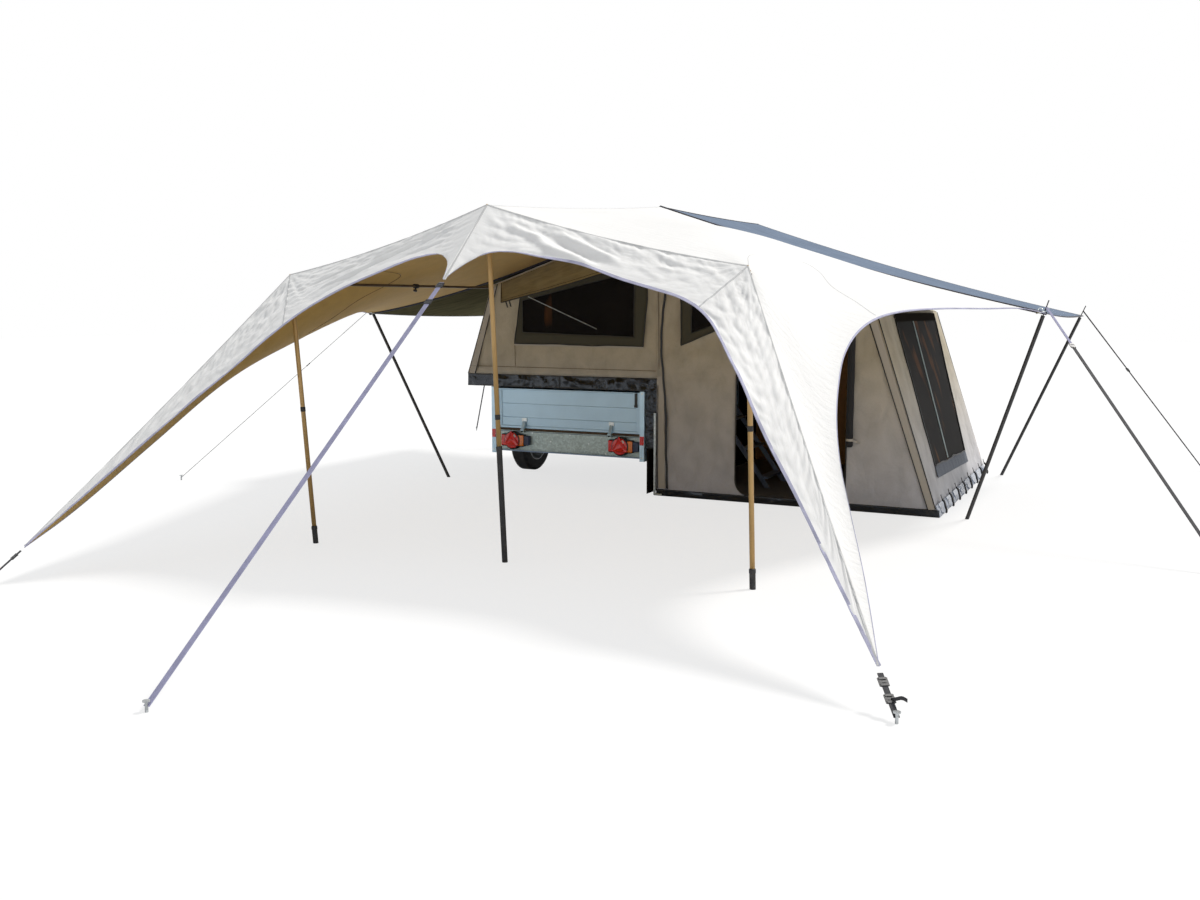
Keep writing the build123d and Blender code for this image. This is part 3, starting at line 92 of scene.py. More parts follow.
# Canopy: pole tops, tail tips and the free edges between them
POLE_LEFT = np.array((-1.516, -3.009, 1.911))
POLE_CENTRE = np.array((0.074, -2.929, 2.335))
POLE_RIGHT = np.array((1.826, -2.886, 1.916))
FOOT_LEFT = np.array((-1.360, -3.010, 0.0))
FOOT_CENTRE = np.array((0.180, -2.930, 0.0))
FOOT_RIGHT = np.array((1.890, -2.890, 0.0))
TAIL_LEFT = np.array((-2.179, -4.732, 0.204))
TAIL_CENTRE = np.array((0.106, -3.500, 1.831))
TAIL_RIGHT = np.array((3.013, -4.576, 0.155))
PEG_LEFT = np.array((-2.258, -4.937, 0.0))
PEG_CENTRE = np.array((0.300, -5.980, 0.0))
PEG_RIGHT = np.array((3.117, -4.725, 0.0))
FRONT_SCALLOP_RIGHT = (
    (0.108, -3.420, 1.877), (0.130, -3.340, 1.923), (0.175, -3.280, 1.969), (0.277, -3.240, 2.012),
    (0.400, -3.214, 2.018), (0.604, -3.179, 1.982), (0.868, -3.160, 1.930), (1.144, -3.185, 1.840),
    (1.361, -3.195, 1.779), (1.526, -3.220, 1.733), (1.642, -3.255, 1.681), (1.765, -3.340, 1.599),
    (1.861, -3.440, 1.507), (1.960, -3.550, 1.401), (2.055, -3.650, 1.299), (2.198, -3.780, 1.095),
    (2.502, -4.058, 0.741), (2.775, -4.334, 0.425),
)
FRONT_SCALLOP_LEFT = (
    (0.082, -3.420, 1.900), (0.045, -3.340, 1.947), (-0.010, -3.280, 1.985), (-0.082, -3.240, 2.011),
    (-0.248, -3.222, 1.999), (-0.546, -3.249, 1.908), (-0.831, -3.305, 1.794), (-1.070, -3.405, 1.651),
    (-1.229, -3.538, 1.495), (-1.349, -3.693, 1.328), (-1.599, -3.978, 1.015), (-1.892, -4.370, 0.595),
)
SIDE_SCALLOP_RIGHT = (
    (3.124, -0.208, 1.670), (2.883, -0.822, 1.673), (2.667, -1.381, 1.671), (2.540, -1.745, 1.658),
    (2.472, -1.970, 1.638), (2.419, -2.206, 1.602), (2.385, -2.495, 1.527), (2.389, -2.809, 1.407),
    (2.434, -3.105, 1.254), (2.499, -3.383, 1.089), (2.585, -3.638, 0.912), (2.702, -3.888, 0.707),
    (2.853, -4.197, 0.448),
)
SIDE_SCALLOP_LEFT = (
    (-3.223, -0.050, 1.652), (-2.957, -0.379, 1.658), (-2.700, -1.009, 1.617), (-2.474, -1.829, 1.435),
    (-2.182, -3.103, 1.084), (-2.210, -3.691, 0.732), (-2.227, -4.415, 0.320),
)
# Where the seam from a side pole meets the front scallop, counted along the scallop's points
SEAM_POINT_RIGHT = np.array((1.660, -3.265, 1.670))
SEAM_POINT_LEFT = np.array((-1.170, -3.480, 1.560))

# Seam over the right wing, from the side pole to the free edge, in x and y; the left one mirrors it
WING_SEAM = ((1.815, -2.860), (1.661, -2.245), (1.731, -1.983), (1.849, -1.655), (1.900, -1.690),
             (2.088, -1.930), (2.242, -1.985), (2.400, -2.110))

# Fly roof: near and far cross edges
FLY_NEAR, FLY_FAR = 0.05, TENT_DEPTH - 0.06
FLY_HALF = (3.222, 3.340)
FLY_LIFT = (0.095, 0.132)
FLY_DROP = (0.935, 0.997)
FLY_SAG = 0.050
# The fly's near left edge hangs lower than the others
LEFT_NEAR_SAG = 0.065
# Feet and pegs of the fly's poles, near and far: left x, right x, left y, right y
FLY_FEET = ((-2.330, 2.700, 0.110, 0.050), (-2.330, 2.650, TENT_DEPTH - 0.100, TENT_DEPTH - 0.060))
FLY_PEGS = ((-4.590, 4.450, -1.240, -1.240), (-4.500, 4.500, TENT_DEPTH + 1.200, TENT_DEPTH + 1.200))
STRAP_AT_PEG = 0.025


# What the cloth is cut from: width and length
WING_CUT = (3.9, 4.6)
FRONT_CUT = (0.8, 4.6)
FLY_CUT = (3.5, 2.75)
AWNING_CUT = (1.45, 0.62)
WINDOW_BAND_CUT = (1.61, 0.15)
FLAP_CUT = (0.12, 0.53)
ROOF_WIDTH = 4.0

# Camera and sun, fitted to the photograph: place in the model's frame, and turns in degrees
CAMERA_PLACE = (4.002, -8.115, 1.6468)
CAMERA_PITCH, CAMERA_TURN = 7.078, 26.438
SUN_TILT, SUN_TURN, SUN_SOFTNESS = 37.0, 141.0, 11.0


def metres(name, description, default, low=0.0, high=2.0):
    """A length that a user can change."""
    return FloatProperty(name=name, description=description, default=default, min=low, max=high,
                         subtype="DISTANCE", unit="LENGTH")


def paint(name, description, default):
    """A colour that a user can change, given as linear red, green and blue."""
    return FloatVectorProperty(name=name, description=description, default=default, size=3,
                               min=0.0, max=1.0, subtype="COLOR")


class CaravanCloth(bpy.types.PropertyGroup):
    """Sizes and colours of the cloth"""

    canopy: paint("Canopy", "Upper side of the sand canopy", (0.90, 0.90, 0.895))
    # Painted light: the underside's golden tan is the sand cloth's colour with the glow of the sun shining
    # through it painted in.
    canopy_under: paint("Canopy underside", "Underside of the canopy, lit through the cloth",
                        (0.52, 0.340, 0.095))
    tent: paint("Tent", "Outside of the tent's walls", (0.50, 0.44, 0.33))
    tent_foot: paint("Tent foot", "Outside of the walls close to the ground", (0.56, 0.56, 0.60))
    tent_inside: paint("Tent inside", "Inside of the tent's walls", (0.62, 0.33, 0.13))
    fly: paint("Fly roof", "Upper side of the fly roof", (0.185, 0.236, 0.322))
    fly_under: paint("Fly underside", "Underside of the fly roof", (0.105, 0.097, 0.055))
    awning: paint("Awning", "Awning over the bed window", (0.47, 0.41, 0.23))
    hem: paint("Hem", "Webbing on the canopy's free edges", (0.34, 0.34, 0.45))
    coated: paint("Coated cloth", "Skirt and base strip", (0.006, 0.006, 0.007))
    hem_width: metres("Hem width", "Width of the webbing on the canopy's free edges", 0.018)
    canopy_thick: metres("Cloth thickness", "Thickness of canopy, fly and walls as shown", 0.003)
    front_folds: metres("Front folds", "Depth of the folds in the canopy's front", 0.0165)
    top_folds: metres("Top folds", "Depth of the folds in the canopy's top and in the fly", 0.0030)
    wall_folds: metres("Wall folds", "Depth of the folds in the walls", 0.0180)


class CaravanTrailer(bpy.types.PropertyGroup):
    """Finishes of the trailer"""

    alloy: paint("Alloy", "Planks and corner posts of the box", (0.45, 0.62, 0.75))
    zinc: paint("Galvanised steel", "Chassis, drawbar and lamp plate", (0.36, 0.43, 0.42))
    lamp: paint("Lamp red", "Lenses of the rear lamps", (0.62, 0.012, 0.010))
    tread_blocks: IntProperty(name="Tread blocks", description="Blocks round a tyre", default=64, min=12,
                              max=120)
    tread_depth: metres("Tread depth", "Height of the tread blocks", 0.006)


class CaravanStage(bpy.types.PropertyGroup):
    """Light and camera"""

    sun: FloatProperty(name="Sun", description="Strength of the soft sun lamp", default=3.1, min=0.0,
                       max=10.0)
    sky: FloatProperty(name="Sky", description="Strength of the even light all round", default=0.57,
                       min=0.0, max=5.0)
    lens: FloatProperty(name="Lens", description="Focal length of the camera", default=33.18, min=8.0,
                        max=200.0, unit="CAMERA")


def cloth_values():
    return bpy.context.scene.caravan_cloth


def trailer_values():
    return bpy.context.scene.caravan_trailer


# Arrays: curves, grids and carried sections
def unit(vectors):
    """Vectors divided by their lengths."""
    return vectors / np.maximum(np.linalg.norm(vectors, axis=-1, keepdims=True), 1e-9)


def evenly(points, count):
    """Points moved along their own line until the distances between them are equal."""
    points = np.asarray(points, float)
    steps = np.linalg.norm(np.diff(points, axis=0), axis=1)
    reach = np.concatenate([[0.0], np.cumsum(steps)])
    wanted = np.linspace(0.0, reach[-1], count)
    return np.stack([np.interp(wanted, reach, points[:, k]) for k in range(points.shape[1])], -1)


def smooth_curve(knots, count):
    """A curve through its knots: on each span a cubic with the chord slopes of its neighbours."""
    knots = np.asarray(knots, float)
    t = np.concatenate([[0.0], np.cumsum(np.linalg.norm(np.diff(knots, axis=0), axis=1))])
    slopes = np.gradient(knots, t, axis=0)
    s = np.linspace(0.0, t[-1], 24 * len(knots))
    i = np.clip(np.searchsorted(t, s, side="right") - 1, 0, len(t) - 2)
    h = (t[i + 1] - t[i])[:, None]
    u = ((s - t[i]) / (t[i + 1] - t[i]))[:, None]
    curve = ((2 * u**3 - 3 * u**2 + 1) * knots[i] + (u**3 - 2 * u**2 + u) * h * slopes[i]
             + (3 * u**2 - 2 * u**3) * knots[i + 1] + (u**3 - u**2) * h * slopes[i + 1])
    return evenly(curve, count)


def sagging(start, end, sag, count):
    """A line between two points that hangs down by a parabola."""
    t = np.linspace(0.0, 1.0, count)[:, None]
    line = np.asarray(start) + t * (np.asarray(end) - np.asarray(start))
    line[:, 2] -= 4 * sag * (t * (1 - t))[:, 0]
    return line


def quads(rows, columns, ring=False):
    """Faces between the points of a grid, facing the cross product of the row direction and the column
    direction; ring joins the last column to the first."""
    last = columns if ring else columns - 1
    r, c = np.meshgrid(np.arange(rows - 1), np.arange(last), indexing="ij")
    n = (c + 1) % columns
    faces = np.stack([r * columns + c, (r + 1) * columns + c, (r + 1) * columns + n, r * columns + n], -1)
    return faces.reshape(-1, 4).tolist()


def faces_of(cloth, turned=False):
    """Faces of a grid of cloth points, turned over if asked."""
    faces = quads(*cloth.shape[:2])
    return [face[::-1] for face in faces] if turned else faces


def as_shape(grid, turned=False):
    """Points and faces of a grid of cloth points."""
    return grid.reshape(-1, 3), faces_of(grid, turned)


def shares(rows, columns):
    """How far along a grid each of its rows and each of its columns lies."""
    return np.linspace(0.0, 1.0, rows)[:, None], np.linspace(0.0, 1.0, columns)[None, :]


def off_edges(u, v):
    """A factor that is 0 at all edges of a grid and 1 in its middle."""
    return np.sin(pi * u) ** 0.5 * np.sin(pi * v) ** 0.5


def capped(rings, turned=False):
    """Points and faces of closed rings joined in a row, with both ends closed."""
    rows, columns = rings.shape[:2]
    first = list(range(columns))
    last = [(rows - 1) * columns + k for k in range(columns)]
    faces = quads(rows, columns, ring=True) + [first, last[::-1]]
    return rings.reshape(-1, 3), [face[::-1] for face in faces] if turned else faces


def held_up(cloth, start, end):
    """Heights of cloth, lifted where it would lie below a line of tension, and falling away beside it."""
    run = (end - start)[:2]
    away = cloth[..., :2] - start[:2]
    share = away @ run / (run @ run)
    beside = np.linalg.norm(away - share[..., None] * run, axis=-1)
    top = start[2] + share * (end[2] - start[2]) - 0.004 - 1.1 * np.maximum(beside - 0.02, 0.0)
    over = (share > 0.0) & (share < 1.0) & (beside < 0.45)
    return np.where(over, np.maximum(cloth[..., 2], top), cloth[..., 2])


def stretched_between(near, far, left, right, rounds=400, lines=()):
    """Cloth pulled tight between four edges: the sum of both straight blends less the corners' one, and
    then every inner point moved to the middle of its four neighbours, many times over; until the last
    rounds it is held up by its lines of tension."""
    u = np.linspace(0.0, 1.0, len(near))[:, None, None]
    v = np.linspace(0.0, 1.0, len(left))[None, :, None]
    corners = ((1 - u) * (1 - v) * near[0] + u * (1 - v) * near[-1]
               + (1 - u) * v * far[0] + u * v * far[-1])
    cloth = (1 - v) * near[:, None] + v * far[:, None] + (1 - u) * left[None] + u * right[None] - corners
    for left_over in range(rounds, 0, -1):
        cloth[1:-1, 1:-1] = (cloth[:-2, 1:-1] + cloth[2:, 1:-1] + cloth[1:-1, :-2] + cloth[1:-1, 2:]) / 4
        for line in lines if left_over > 25 else ():
            cloth[1:-1, 1:-1, 2] = held_up(cloth[1:-1, 1:-1], *line)
    return cloth


def grid_lengths(cloth):
    """For each point of a grid its distances in metres along its row and its column, for the weave."""
    along = np.concatenate([np.zeros((1, cloth.shape[1])),
                            np.cumsum(np.linalg.norm(np.diff(cloth, axis=0), axis=-1), axis=0)])
    across = np.concatenate([np.zeros((cloth.shape[0], 1)),
                             np.cumsum(np.linalg.norm(np.diff(cloth, axis=1), axis=-1), axis=1)], axis=1)
    return np.stack([along, across], -1)


def grid_normals(cloth):
    """The direction square to a grid of points."""
    return unit(np.cross(np.gradient(cloth, axis=0), np.gradient(cloth, axis=1)))


def lifted(cloth, depth):
    """A grid with each point moved out of its surface."""
    return cloth + grid_normals(cloth) * depth[..., None]


def grid_area(cloth):
    """Area of a grid of points, from the cross products of its cells' diagonals."""
    a = cloth[1:, 1:] - cloth[:-1, :-1]
    b = cloth[:-1, 1:] - cloth[1:, :-1]
    return float(np.linalg.norm(np.cross(a, b), axis=-1).sum() / 2)


def folds(at, seed, turn, wave, spread=0.22, count=9, sharp=0.0):
    """Folds in cloth: waves whose crests run at about one turn to the first direction, each with its own
    turn, length and phase and with crests that wander; sharp ones have pointed crests and round hollows.
    The depth is about one."""
    rng = np.random.default_rng(seed)
    total = np.zeros(at.shape[:-1])
    for turned, size, wander in zip(rng.normal(turn, spread, count), rng.uniform(0.55, 1.7, count),
                                    rng.uniform(4.0, 9.0, count)):
        length = wave * size
        run = at[..., 0] * cos(turned) + at[..., 1] * sin(turned)
        across = at[..., 1] * cos(turned) - at[..., 0] * sin(turned)
        phases = rng.uniform(0.0, 2 * pi, 2)
        crest = across / length + 0.45 * np.sin(2 * pi * run / (length * wander) + phases[0])
        strength = 0.55 + 0.45 * np.sin(2 * pi * run / (length * wander * 1.7) + phases[1])
        pointed = 1.27 - 2.0 * np.sqrt(np.sin(pi * crest + phases[1] / 2) ** 2 + 0.010)
        total += size * strength * ((1 - sharp) * np.sin(2 * pi * crest + phases[1]) + sharp * pointed)
    return total / np.sqrt(count)


def pressed(at, rows):
    """Single folds: each runs between two places of a grid, given as shares of its rows and columns, with
    its width in metres and its depth; hollows have negative depths."""
    total = np.zeros(at.shape[:-1])
    last = np.array(at.shape[:2]) - 1
    for u0, v0, u1, v1, width, depth in rows:
        start, end = (at[tuple(np.round(np.array(place) * last).astype(int))]
                      for place in ((u0, v0), (u1, v1)))
        run = end - start
        share = (at - start) @ run / (run @ run)
        side = ((at[..., 0] - start[0]) * run[1] - (at[..., 1] - start[1]) * run[0]) / np.linalg.norm(run)
        side = side + 0.012 * np.sin(7.0 * share) + 0.05 * share * (1 - share)
        taper = np.clip(share * 3.0, 0.0, 1.0) * np.clip((1 - share) * 3.0, 0.0, 1.0)
        total += depth * np.exp(-((side / width) ** 2)) * taper * taper * (3 - 2 * taper)
    return total


def carried(path, section, upright):
    """A closed section carried along a path: each ring lies across the path, its second axis as near to
    the upright direction as it can; the ends are capped."""
    path = np.asarray(path, float)
    way = unit(np.gradient(path, axis=0))
    side = unit(np.cross(way, np.broadcast_to(np.asarray(upright, float), path.shape)))
    up = np.cross(side, way)
    section = np.asarray(section, float)
    if section.ndim == 2:
        section = np.broadcast_to(section, (len(path),) + section.shape)
    return capped(path[:, None] + section[..., :1] * side[:, None] + section[..., 1:] * up[:, None])


def circle(radius, sides):
    """Points round a circle."""
    angle = np.linspace(0.0, 2 * pi, sides, endpoint=False)
    return radius * np.stack([np.cos(angle), np.sin(angle)], -1)


def tube(path, radius, sides=14, upright=None):
    """A round section carried along a path; the radius is one number or one for each point."""
    path = np.asarray(path, float)
    if upright is None:
        upright = np.eye(3)[int(np.argmin(np.abs(path[-1] - path[0])))]
    radii = np.broadcast_to(np.asarray(radius, float), (len(path),))
    return carried(path, radii[:, None, None] * circle(1.0, sides)[None], upright)


def turning(start, end, profile, sides=24):
    """A turned piece: a profile of distances along an axis and radii, carried round the axis from start
    towards end."""
    start, end = np.asarray(start, float), np.asarray(end, float)
    way = unit(end - start)
    profile = np.asarray(profile, float)
    upright = np.eye(3)[int(np.argmin(np.abs(way)))]
    side = unit(np.cross(way, upright))
    up = np.cross(side, way)
    ring = circle(1.0, sides)
    round_it = ring[:, :1] * side + ring[:, 1:] * up
    return capped(start + profile[:, None, :1] * way + profile[:, None, 1:] * round_it[None])


def strip(path, across, width, thick):
    """A flat band carried along a path, its width in the direction across."""
    path = np.asarray(path, float)
    across = unit(np.broadcast_to(np.asarray(across, float), path.shape))
    way = unit(np.gradient(path, axis=0))
    out = unit(np.cross(way, across))
    corners = ((-1, -1), (-1, 1), (1, 1), (1, -1))
    rings = [path + across * (a * width / 2) + out * (b * thick / 2) for a, b in corners]
    return capped(np.stack(rings, 1))


def rod(start, end, radius, count=4, upright=None):
    """A straight round bar."""
    return tube(np.linspace(start, end, count), radius, 8, upright)


def tape(start, end, across, width, thick, count=20):
    """A straight flat band."""
    return strip(np.linspace(start, end, count), across, width, thick)


def brick(low, high):
    """A box between two corners."""
    low, high = np.asarray(low, float), np.asarray(high, float)
    pick = np.array([(0, 0, 0), (1, 0, 0), (1, 1, 0), (0, 1, 0),
                     (0, 0, 1), (1, 0, 1), (1, 1, 1), (0, 1, 1)])
    faces = [[3, 2, 1, 0], [4, 5, 6, 7], [0, 1, 5, 4], [1, 2, 6, 5], [2, 3, 7, 6], [3, 0, 4, 7]]
    return low + pick * (high - low), faces


def block_between(start, end, width, thick, upright):
    """A straight bar with a rectangular section."""
    half = np.array([(-width, -thick), (width, -thick), (width, thick), (-width, thick)]) / 2
    return carried([start, end], half, upright)


def together(*pieces):
    """One set of points and faces from several."""
    points, faces, first = [], [], 0
    for some_points, some_faces in pieces:
        points.append(some_points)
        faces += [[corner + first for corner in face] for face in some_faces]
        first += len(some_points)
    return np.concatenate(points), faces


def add_piece(name, shape, looks, uv=None, body="root", replaces=(), smooth=True):
    """A new piece of the caravan from points and faces, with its finishes, body and material slot."""
    points, faces = shape
    mesh = bpy.data.meshes.new(name)
    mesh.from_pydata((np.asarray(points).reshape(-1, 3) + TENT_ORIGIN).tolist(), [], faces)
    for look in looks if isinstance(looks, tuple) else (looks,):
        mesh.materials.append(finish(look))
    if uv is not None:
        corner = np.empty(len(mesh.loops), np.int32)
        mesh.loops.foreach_get("vertex_index", corner)
        layer = mesh.uv_layers.new(name="Weave")
        layer.data.foreach_set("uv", np.asarray(uv, np.float32).reshape(-1, 2)[corner].ravel())
    mesh.polygons.foreach_set("use_smooth", [smooth] * len(mesh.polygons))
    mesh.update()
    piece = bpy.data.objects.new(name, mesh)
    bpy.context.scene.collection.objects.link(piece)
    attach(piece, body)
    if replaces:
        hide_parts(*replaces)
    return piece


def add_cloth(name, shape, looks, slot, thick, uv, area, flat, held="stretched", offset=0.0, replaces=(),
              **more):
    """A sheet of cloth with its thickness; a second finish is its back's. The width and length it is cut from
    and the area of its cut inside them are not used."""
    piece = add_piece(name, shape, looks, uv=uv, replaces=replaces)
    solidify = piece.modifiers.new("thickness", "SOLIDIFY")
    solidify.thickness = thick
    solidify.offset = offset
    solidify.use_even_offset = False
    solidify.material_offset = int(isinstance(looks, tuple))
    return piece


def soften(piece, width, segments=2):
    """Rounds the edges of a hard piece."""
    bevel = piece.modifiers.new("soft edges", "BEVEL")
    bevel.width = width
    bevel.segments = segments
    bevel.limit_method = "ANGLE"
    bevel.angle_limit = radians(35)
    return piece


# Materials
WHITE = (1.0, 1.0, 1.0)
WEAVE_SCALE = 140.0


def shade(colour, factor):
    """A colour made lighter or darker."""
    return tuple(min(1.0, max(0.0, c * factor)) for c in colour)


class Look:
    """A material being made: its shader, and the place that its textures are read at."""

    def __init__(self, name, colour, rough, metallic=0.0, place="Object", **sockets):
        self.material = bpy.data.materials.new(name)
        self.material.use_nodes = True
        self.nodes, self.links = self.material.node_tree.nodes, self.material.node_tree.links
        self.shader = self.nodes["Principled BSDF"]
        self.fill(self.shader, Base_Color=(*colour, 1.0), Roughness=rough, Metallic=metallic, **sockets)
        self.place = self.nodes.new("ShaderNodeTexCoord").outputs[place]

    def give(self, socket, value):
        """Joins a socket to another one, or sets it to a value."""
        if hasattr(value, "links"):
            self.links.new(value, socket)
        else:
            socket.default_value = value

    def fill(self, node, **values):
        """Gives a node's sockets their values; the spaces of a name are written as underscores."""
        for name, value in values.items():
            self.give(node.inputs[name.replace("_", " ")], value)
        return node

    def add(self, kind, **values):
        """A new node with its sockets filled."""
        return self.fill(self.nodes.new("ShaderNode" + kind), **values)

    def noise(self, scale, detail, place=None, **values):
        """The strength of a noise at each place."""
        place = self.place if place is None else place
        return self.add("TexNoise", Vector=place, Scale=scale, Detail=detail, **values).outputs["Fac"]

    def wave(self, direction="X", **values):
        """The height of straight waves at each place."""
        made = self.add("TexWave", Vector=self.place, **values)
        made.bands_direction = direction
        return made.outputs["Fac"]

    def scaled(self, *scale):
        """The place, with its own scale in each direction."""
        return self.add("Mapping", Vector=self.place, Scale=scale).outputs["Vector"]

    def mixed(self, first, second, share=1.0, way="MULTIPLY"):
        """Two colours mixed; each is a socket or three numbers."""
        mix = self.nodes.new("ShaderNodeMix")
        mix.data_type = "RGBA"
        mix.blend_type = way
        for name, colour in (("A", first), ("B", second)):
            socket = [s for s in mix.inputs if s.name == name and s.type == "RGBA"][0]
            self.give(socket, colour if hasattr(colour, "links") else (*colour, 1.0))
        self.give(mix.inputs["Factor"], share)
        return [s for s in mix.outputs if s.type == "RGBA"][0]

    def between(self, amount, first, second, low=0.3, high=0.7):
        """A colour between two, by an amount that rises from low to high."""
        ramp = self.add("MapRange", Value=amount, From_Min=low, From_Max=high)
        return self.mixed(first, second, ramp.outputs["Result"], "MIX")

    def clouded(self, amount, first, second, low=0.3, high=0.7):
        """Gives the shader a colour between two."""
        self.fill(self.shader, Base_Color=self.between(amount, first, second, low, high))

    def dent(self, height, distance, strength=1.0, under=None):
        """A bump on the shader's surface, over another bump if one is given."""
        bump = self.add("Bump", Height=height, Distance=distance, Strength=strength)
        if under is not None:
            self.fill(bump, Normal=under.outputs["Normal"])
        self.fill(self.shader, Normal=bump.outputs["Normal"])
        return bump

    def end_in_mix(self, share, second):
        """Ends the material in a mix of its own shader and another one."""
        mix = self.add("MixShader", Fac=share)
        self.links.new(self.shader.outputs["BSDF"], mix.inputs[1])
        self.links.new(second, mix.inputs[2])
        self.links.new(mix.outputs["Shader"], self.nodes["Material Output"].inputs["Surface"])


def woven(name, colour, creases=0.004, rough=0.92, tint=0.90, through=None, stretch=(1.0, 1.0), foot=None,
          hollows=1.0, sheen=0.12):
    """Woven cloth: cloudy variation of its colour, a weave of two crossed waves, and small creases that are
    drawn out in one direction, with painted shade darkening their hollows; the foot of a wall may have its
    own colour."""
    look = Look(name, colour, rough, place="UV", Specular_IOR_Level=1.5 * sheen, Sheen_Weight=sheen)
    if foot is not None:
        height = look.add("SeparateXYZ", Vector=look.place).outputs["Y"]
        colour = look.between(height, foot, colour, 0.0, 1.3)
    tinted = look.between(look.noise(1.6, 4.0), WHITE, (tint, tint, tint))
    specked = look.between(look.noise(70.0, 3.0), tinted, (tint, tint, tint * 0.97), 0.45, 0.80)
    crease = look.noise(9.0, 5.0, look.scaled(*stretch, 1.0), Distortion=0.35)
    # Painted shade: the colour is darkened in the hollows of the small creases, down to the share given by
    # hollows.
    painted_crease_shade = look.between(crease, (hollows, hollows, hollows), WHITE, 0.30, 0.62)
    look.fill(look.shader, Base_Color=look.mixed(look.mixed(colour, specked), painted_crease_shade))
    both = look.nodes.new("ShaderNodeMath")
    both.operation = "MULTIPLY"
    for socket, direction in zip(both.inputs, "XY"):
        look.give(socket, look.wave(direction, Scale=WEAVE_SCALE, Distortion=0.6))
    look.dent(both.outputs["Value"], 0.0003, 0.5, look.dent(crease, creases))
    if through is not None:
        look.end_in_mix(0.12, look.add("BsdfTranslucent", Color=(*through, 1.0)).outputs["BSDF"])
    return look.material


def webbing(name, colour):
    """Flat webbing with ribs across its run."""
    look = Look(name, colour, 0.75)
    look.clouded(look.noise(14.0, 4.0), colour, shade(colour, 1.35))
    look.dent(look.wave("DIAGONAL", Scale=120.0, Distortion=0.3), 0.0006, 0.7)
    return look.material


def coated(name, colour, scale, depth):
    """Coated cloth: glossy, with crumpled folds, and a blue specular tint that paints the sky's colour into
    its reflections.
    """
    # Painted reflection: the blue specular tint stands in for the sky seen in the glints.
    look = Look(name, colour, 0.16, Specular_IOR_Level=0.45, Specular_Tint=(0.72, 0.84, 1.0, 1.0),
                Coat_Weight=0.35, Coat_Roughness=0.07)
    look.clouded(look.noise(30.0, 4.0), colour, shade(colour, 2.2), 0.4, 0.8)
    look.dent(look.noise(scale, 3.0, Distortion=1.4), depth)
    return look.material


def metal(name, colour, rough=0.38, metallic=0.85, brush=(6.0, 6.0, 90.0), wear=1.18):
    """Bare metal: fine brush lines in one direction and soft clouds of wear."""
    look = Look(name, colour, rough, metallic)
    look.clouded(look.noise(5.0, 5.0), colour, shade(colour, wear))
    lines = look.noise(6.0, 4.0, look.scaled(*brush))
    gloss = look.add("MapRange", Value=lines, To_Min=rough * 0.8, To_Max=rough * 1.3)
    look.fill(look.shader, Roughness=gloss.outputs["Result"])
    look.dent(lines, 0.0004, 0.5)
    return look.material


def galvanised(name, colour):
    """Zinc with its flat crystals: cells of slightly different grey."""
    look = Look(name, colour, 0.42, 0.75)
    cells = look.add("TexVoronoi", Vector=look.place, Scale=65.0)
    base = look.between(look.noise(7.0, 6.0), colour, shade(colour, 0.80))
    split = look.add("SeparateColor", Color=cells.outputs["Color"])
    look.clouded(split.outputs["Red"], base, shade(colour, 1.25), 0.2, 1.0)
    look.dent(cells.outputs["Distance"], 0.0003, 0.3)
    return look.material


def rubber(name, colour=(0.016, 0.016, 0.017)):
    """Rubber with a dusty grain."""
    look = Look(name, colour, 0.68)
    look.clouded(look.noise(22.0, 6.0), colour, shade(colour, 2.6), 0.45, 0.85)
    look.dent(look.noise(240.0, 2.0), 0.0003, 0.6)
    return look.material


def painted(name, colour, rough=0.45, grain=160.0, metallic=0.0):
    """Paint, moulded plastic or powder coat with a fine grain and slight clouds."""
    look = Look(name, colour, rough, metallic)
    look.clouded(look.noise(9.0, 5.0), colour, shade(colour, 0.86))
    look.dent(look.noise(grain, 2.0), 0.0003, 0.4)
    return look.material


def lens_plastic(name, colour):
    """A moulded lens with small prisms."""
    look = Look(name, colour, 0.22, Coat_Weight=0.5, Coat_Roughness=0.08)
    prisms = look.add("TexVoronoi", Vector=look.place, Scale=120.0).outputs["Distance"]
    look.clouded(prisms, shade(colour, 0.75), shade(colour, 1.3), 0.1, 0.6)
    look.dent(prisms, 0.0008, 0.6)
    return look.material


def net(name, colour, shown):
    """Insect mesh: dark threads that let part of the light through, with the lit brown lining behind it
    painted on here and there.
    """
    look = Look(name, colour, 0.7, Specular_IOR_Level=0.08, Alpha=shown)
    dark = look.between(look.noise(3.0, 3.0), colour, shade(colour, 2.0))
    painted_lining_behind = look.noise(1.0, 2.0, look.scaled(5.0, 5.0, 1.1))
    # Painted light: brown patches of the lit lining behind the mesh.
    look.clouded(painted_lining_behind, dark, (0.085, 0.036, 0.014), 0.58, 0.66)
    look.dent(look.wave(Scale=200.0), 0.0003, 0.5)
    return look.material


def wood_board(name, colour):
    """Plywood with long grain."""
    look = Look(name, colour, 0.7)
    grain = look.noise(3.0, 6.0, look.scaled(14.0, 1.0, 14.0), Distortion=0.8)
    look.clouded(grain, colour, shade(colour, 0.55))
    look.dent(grain, 0.0008, 0.5)
    return look.material


made_materials = {}


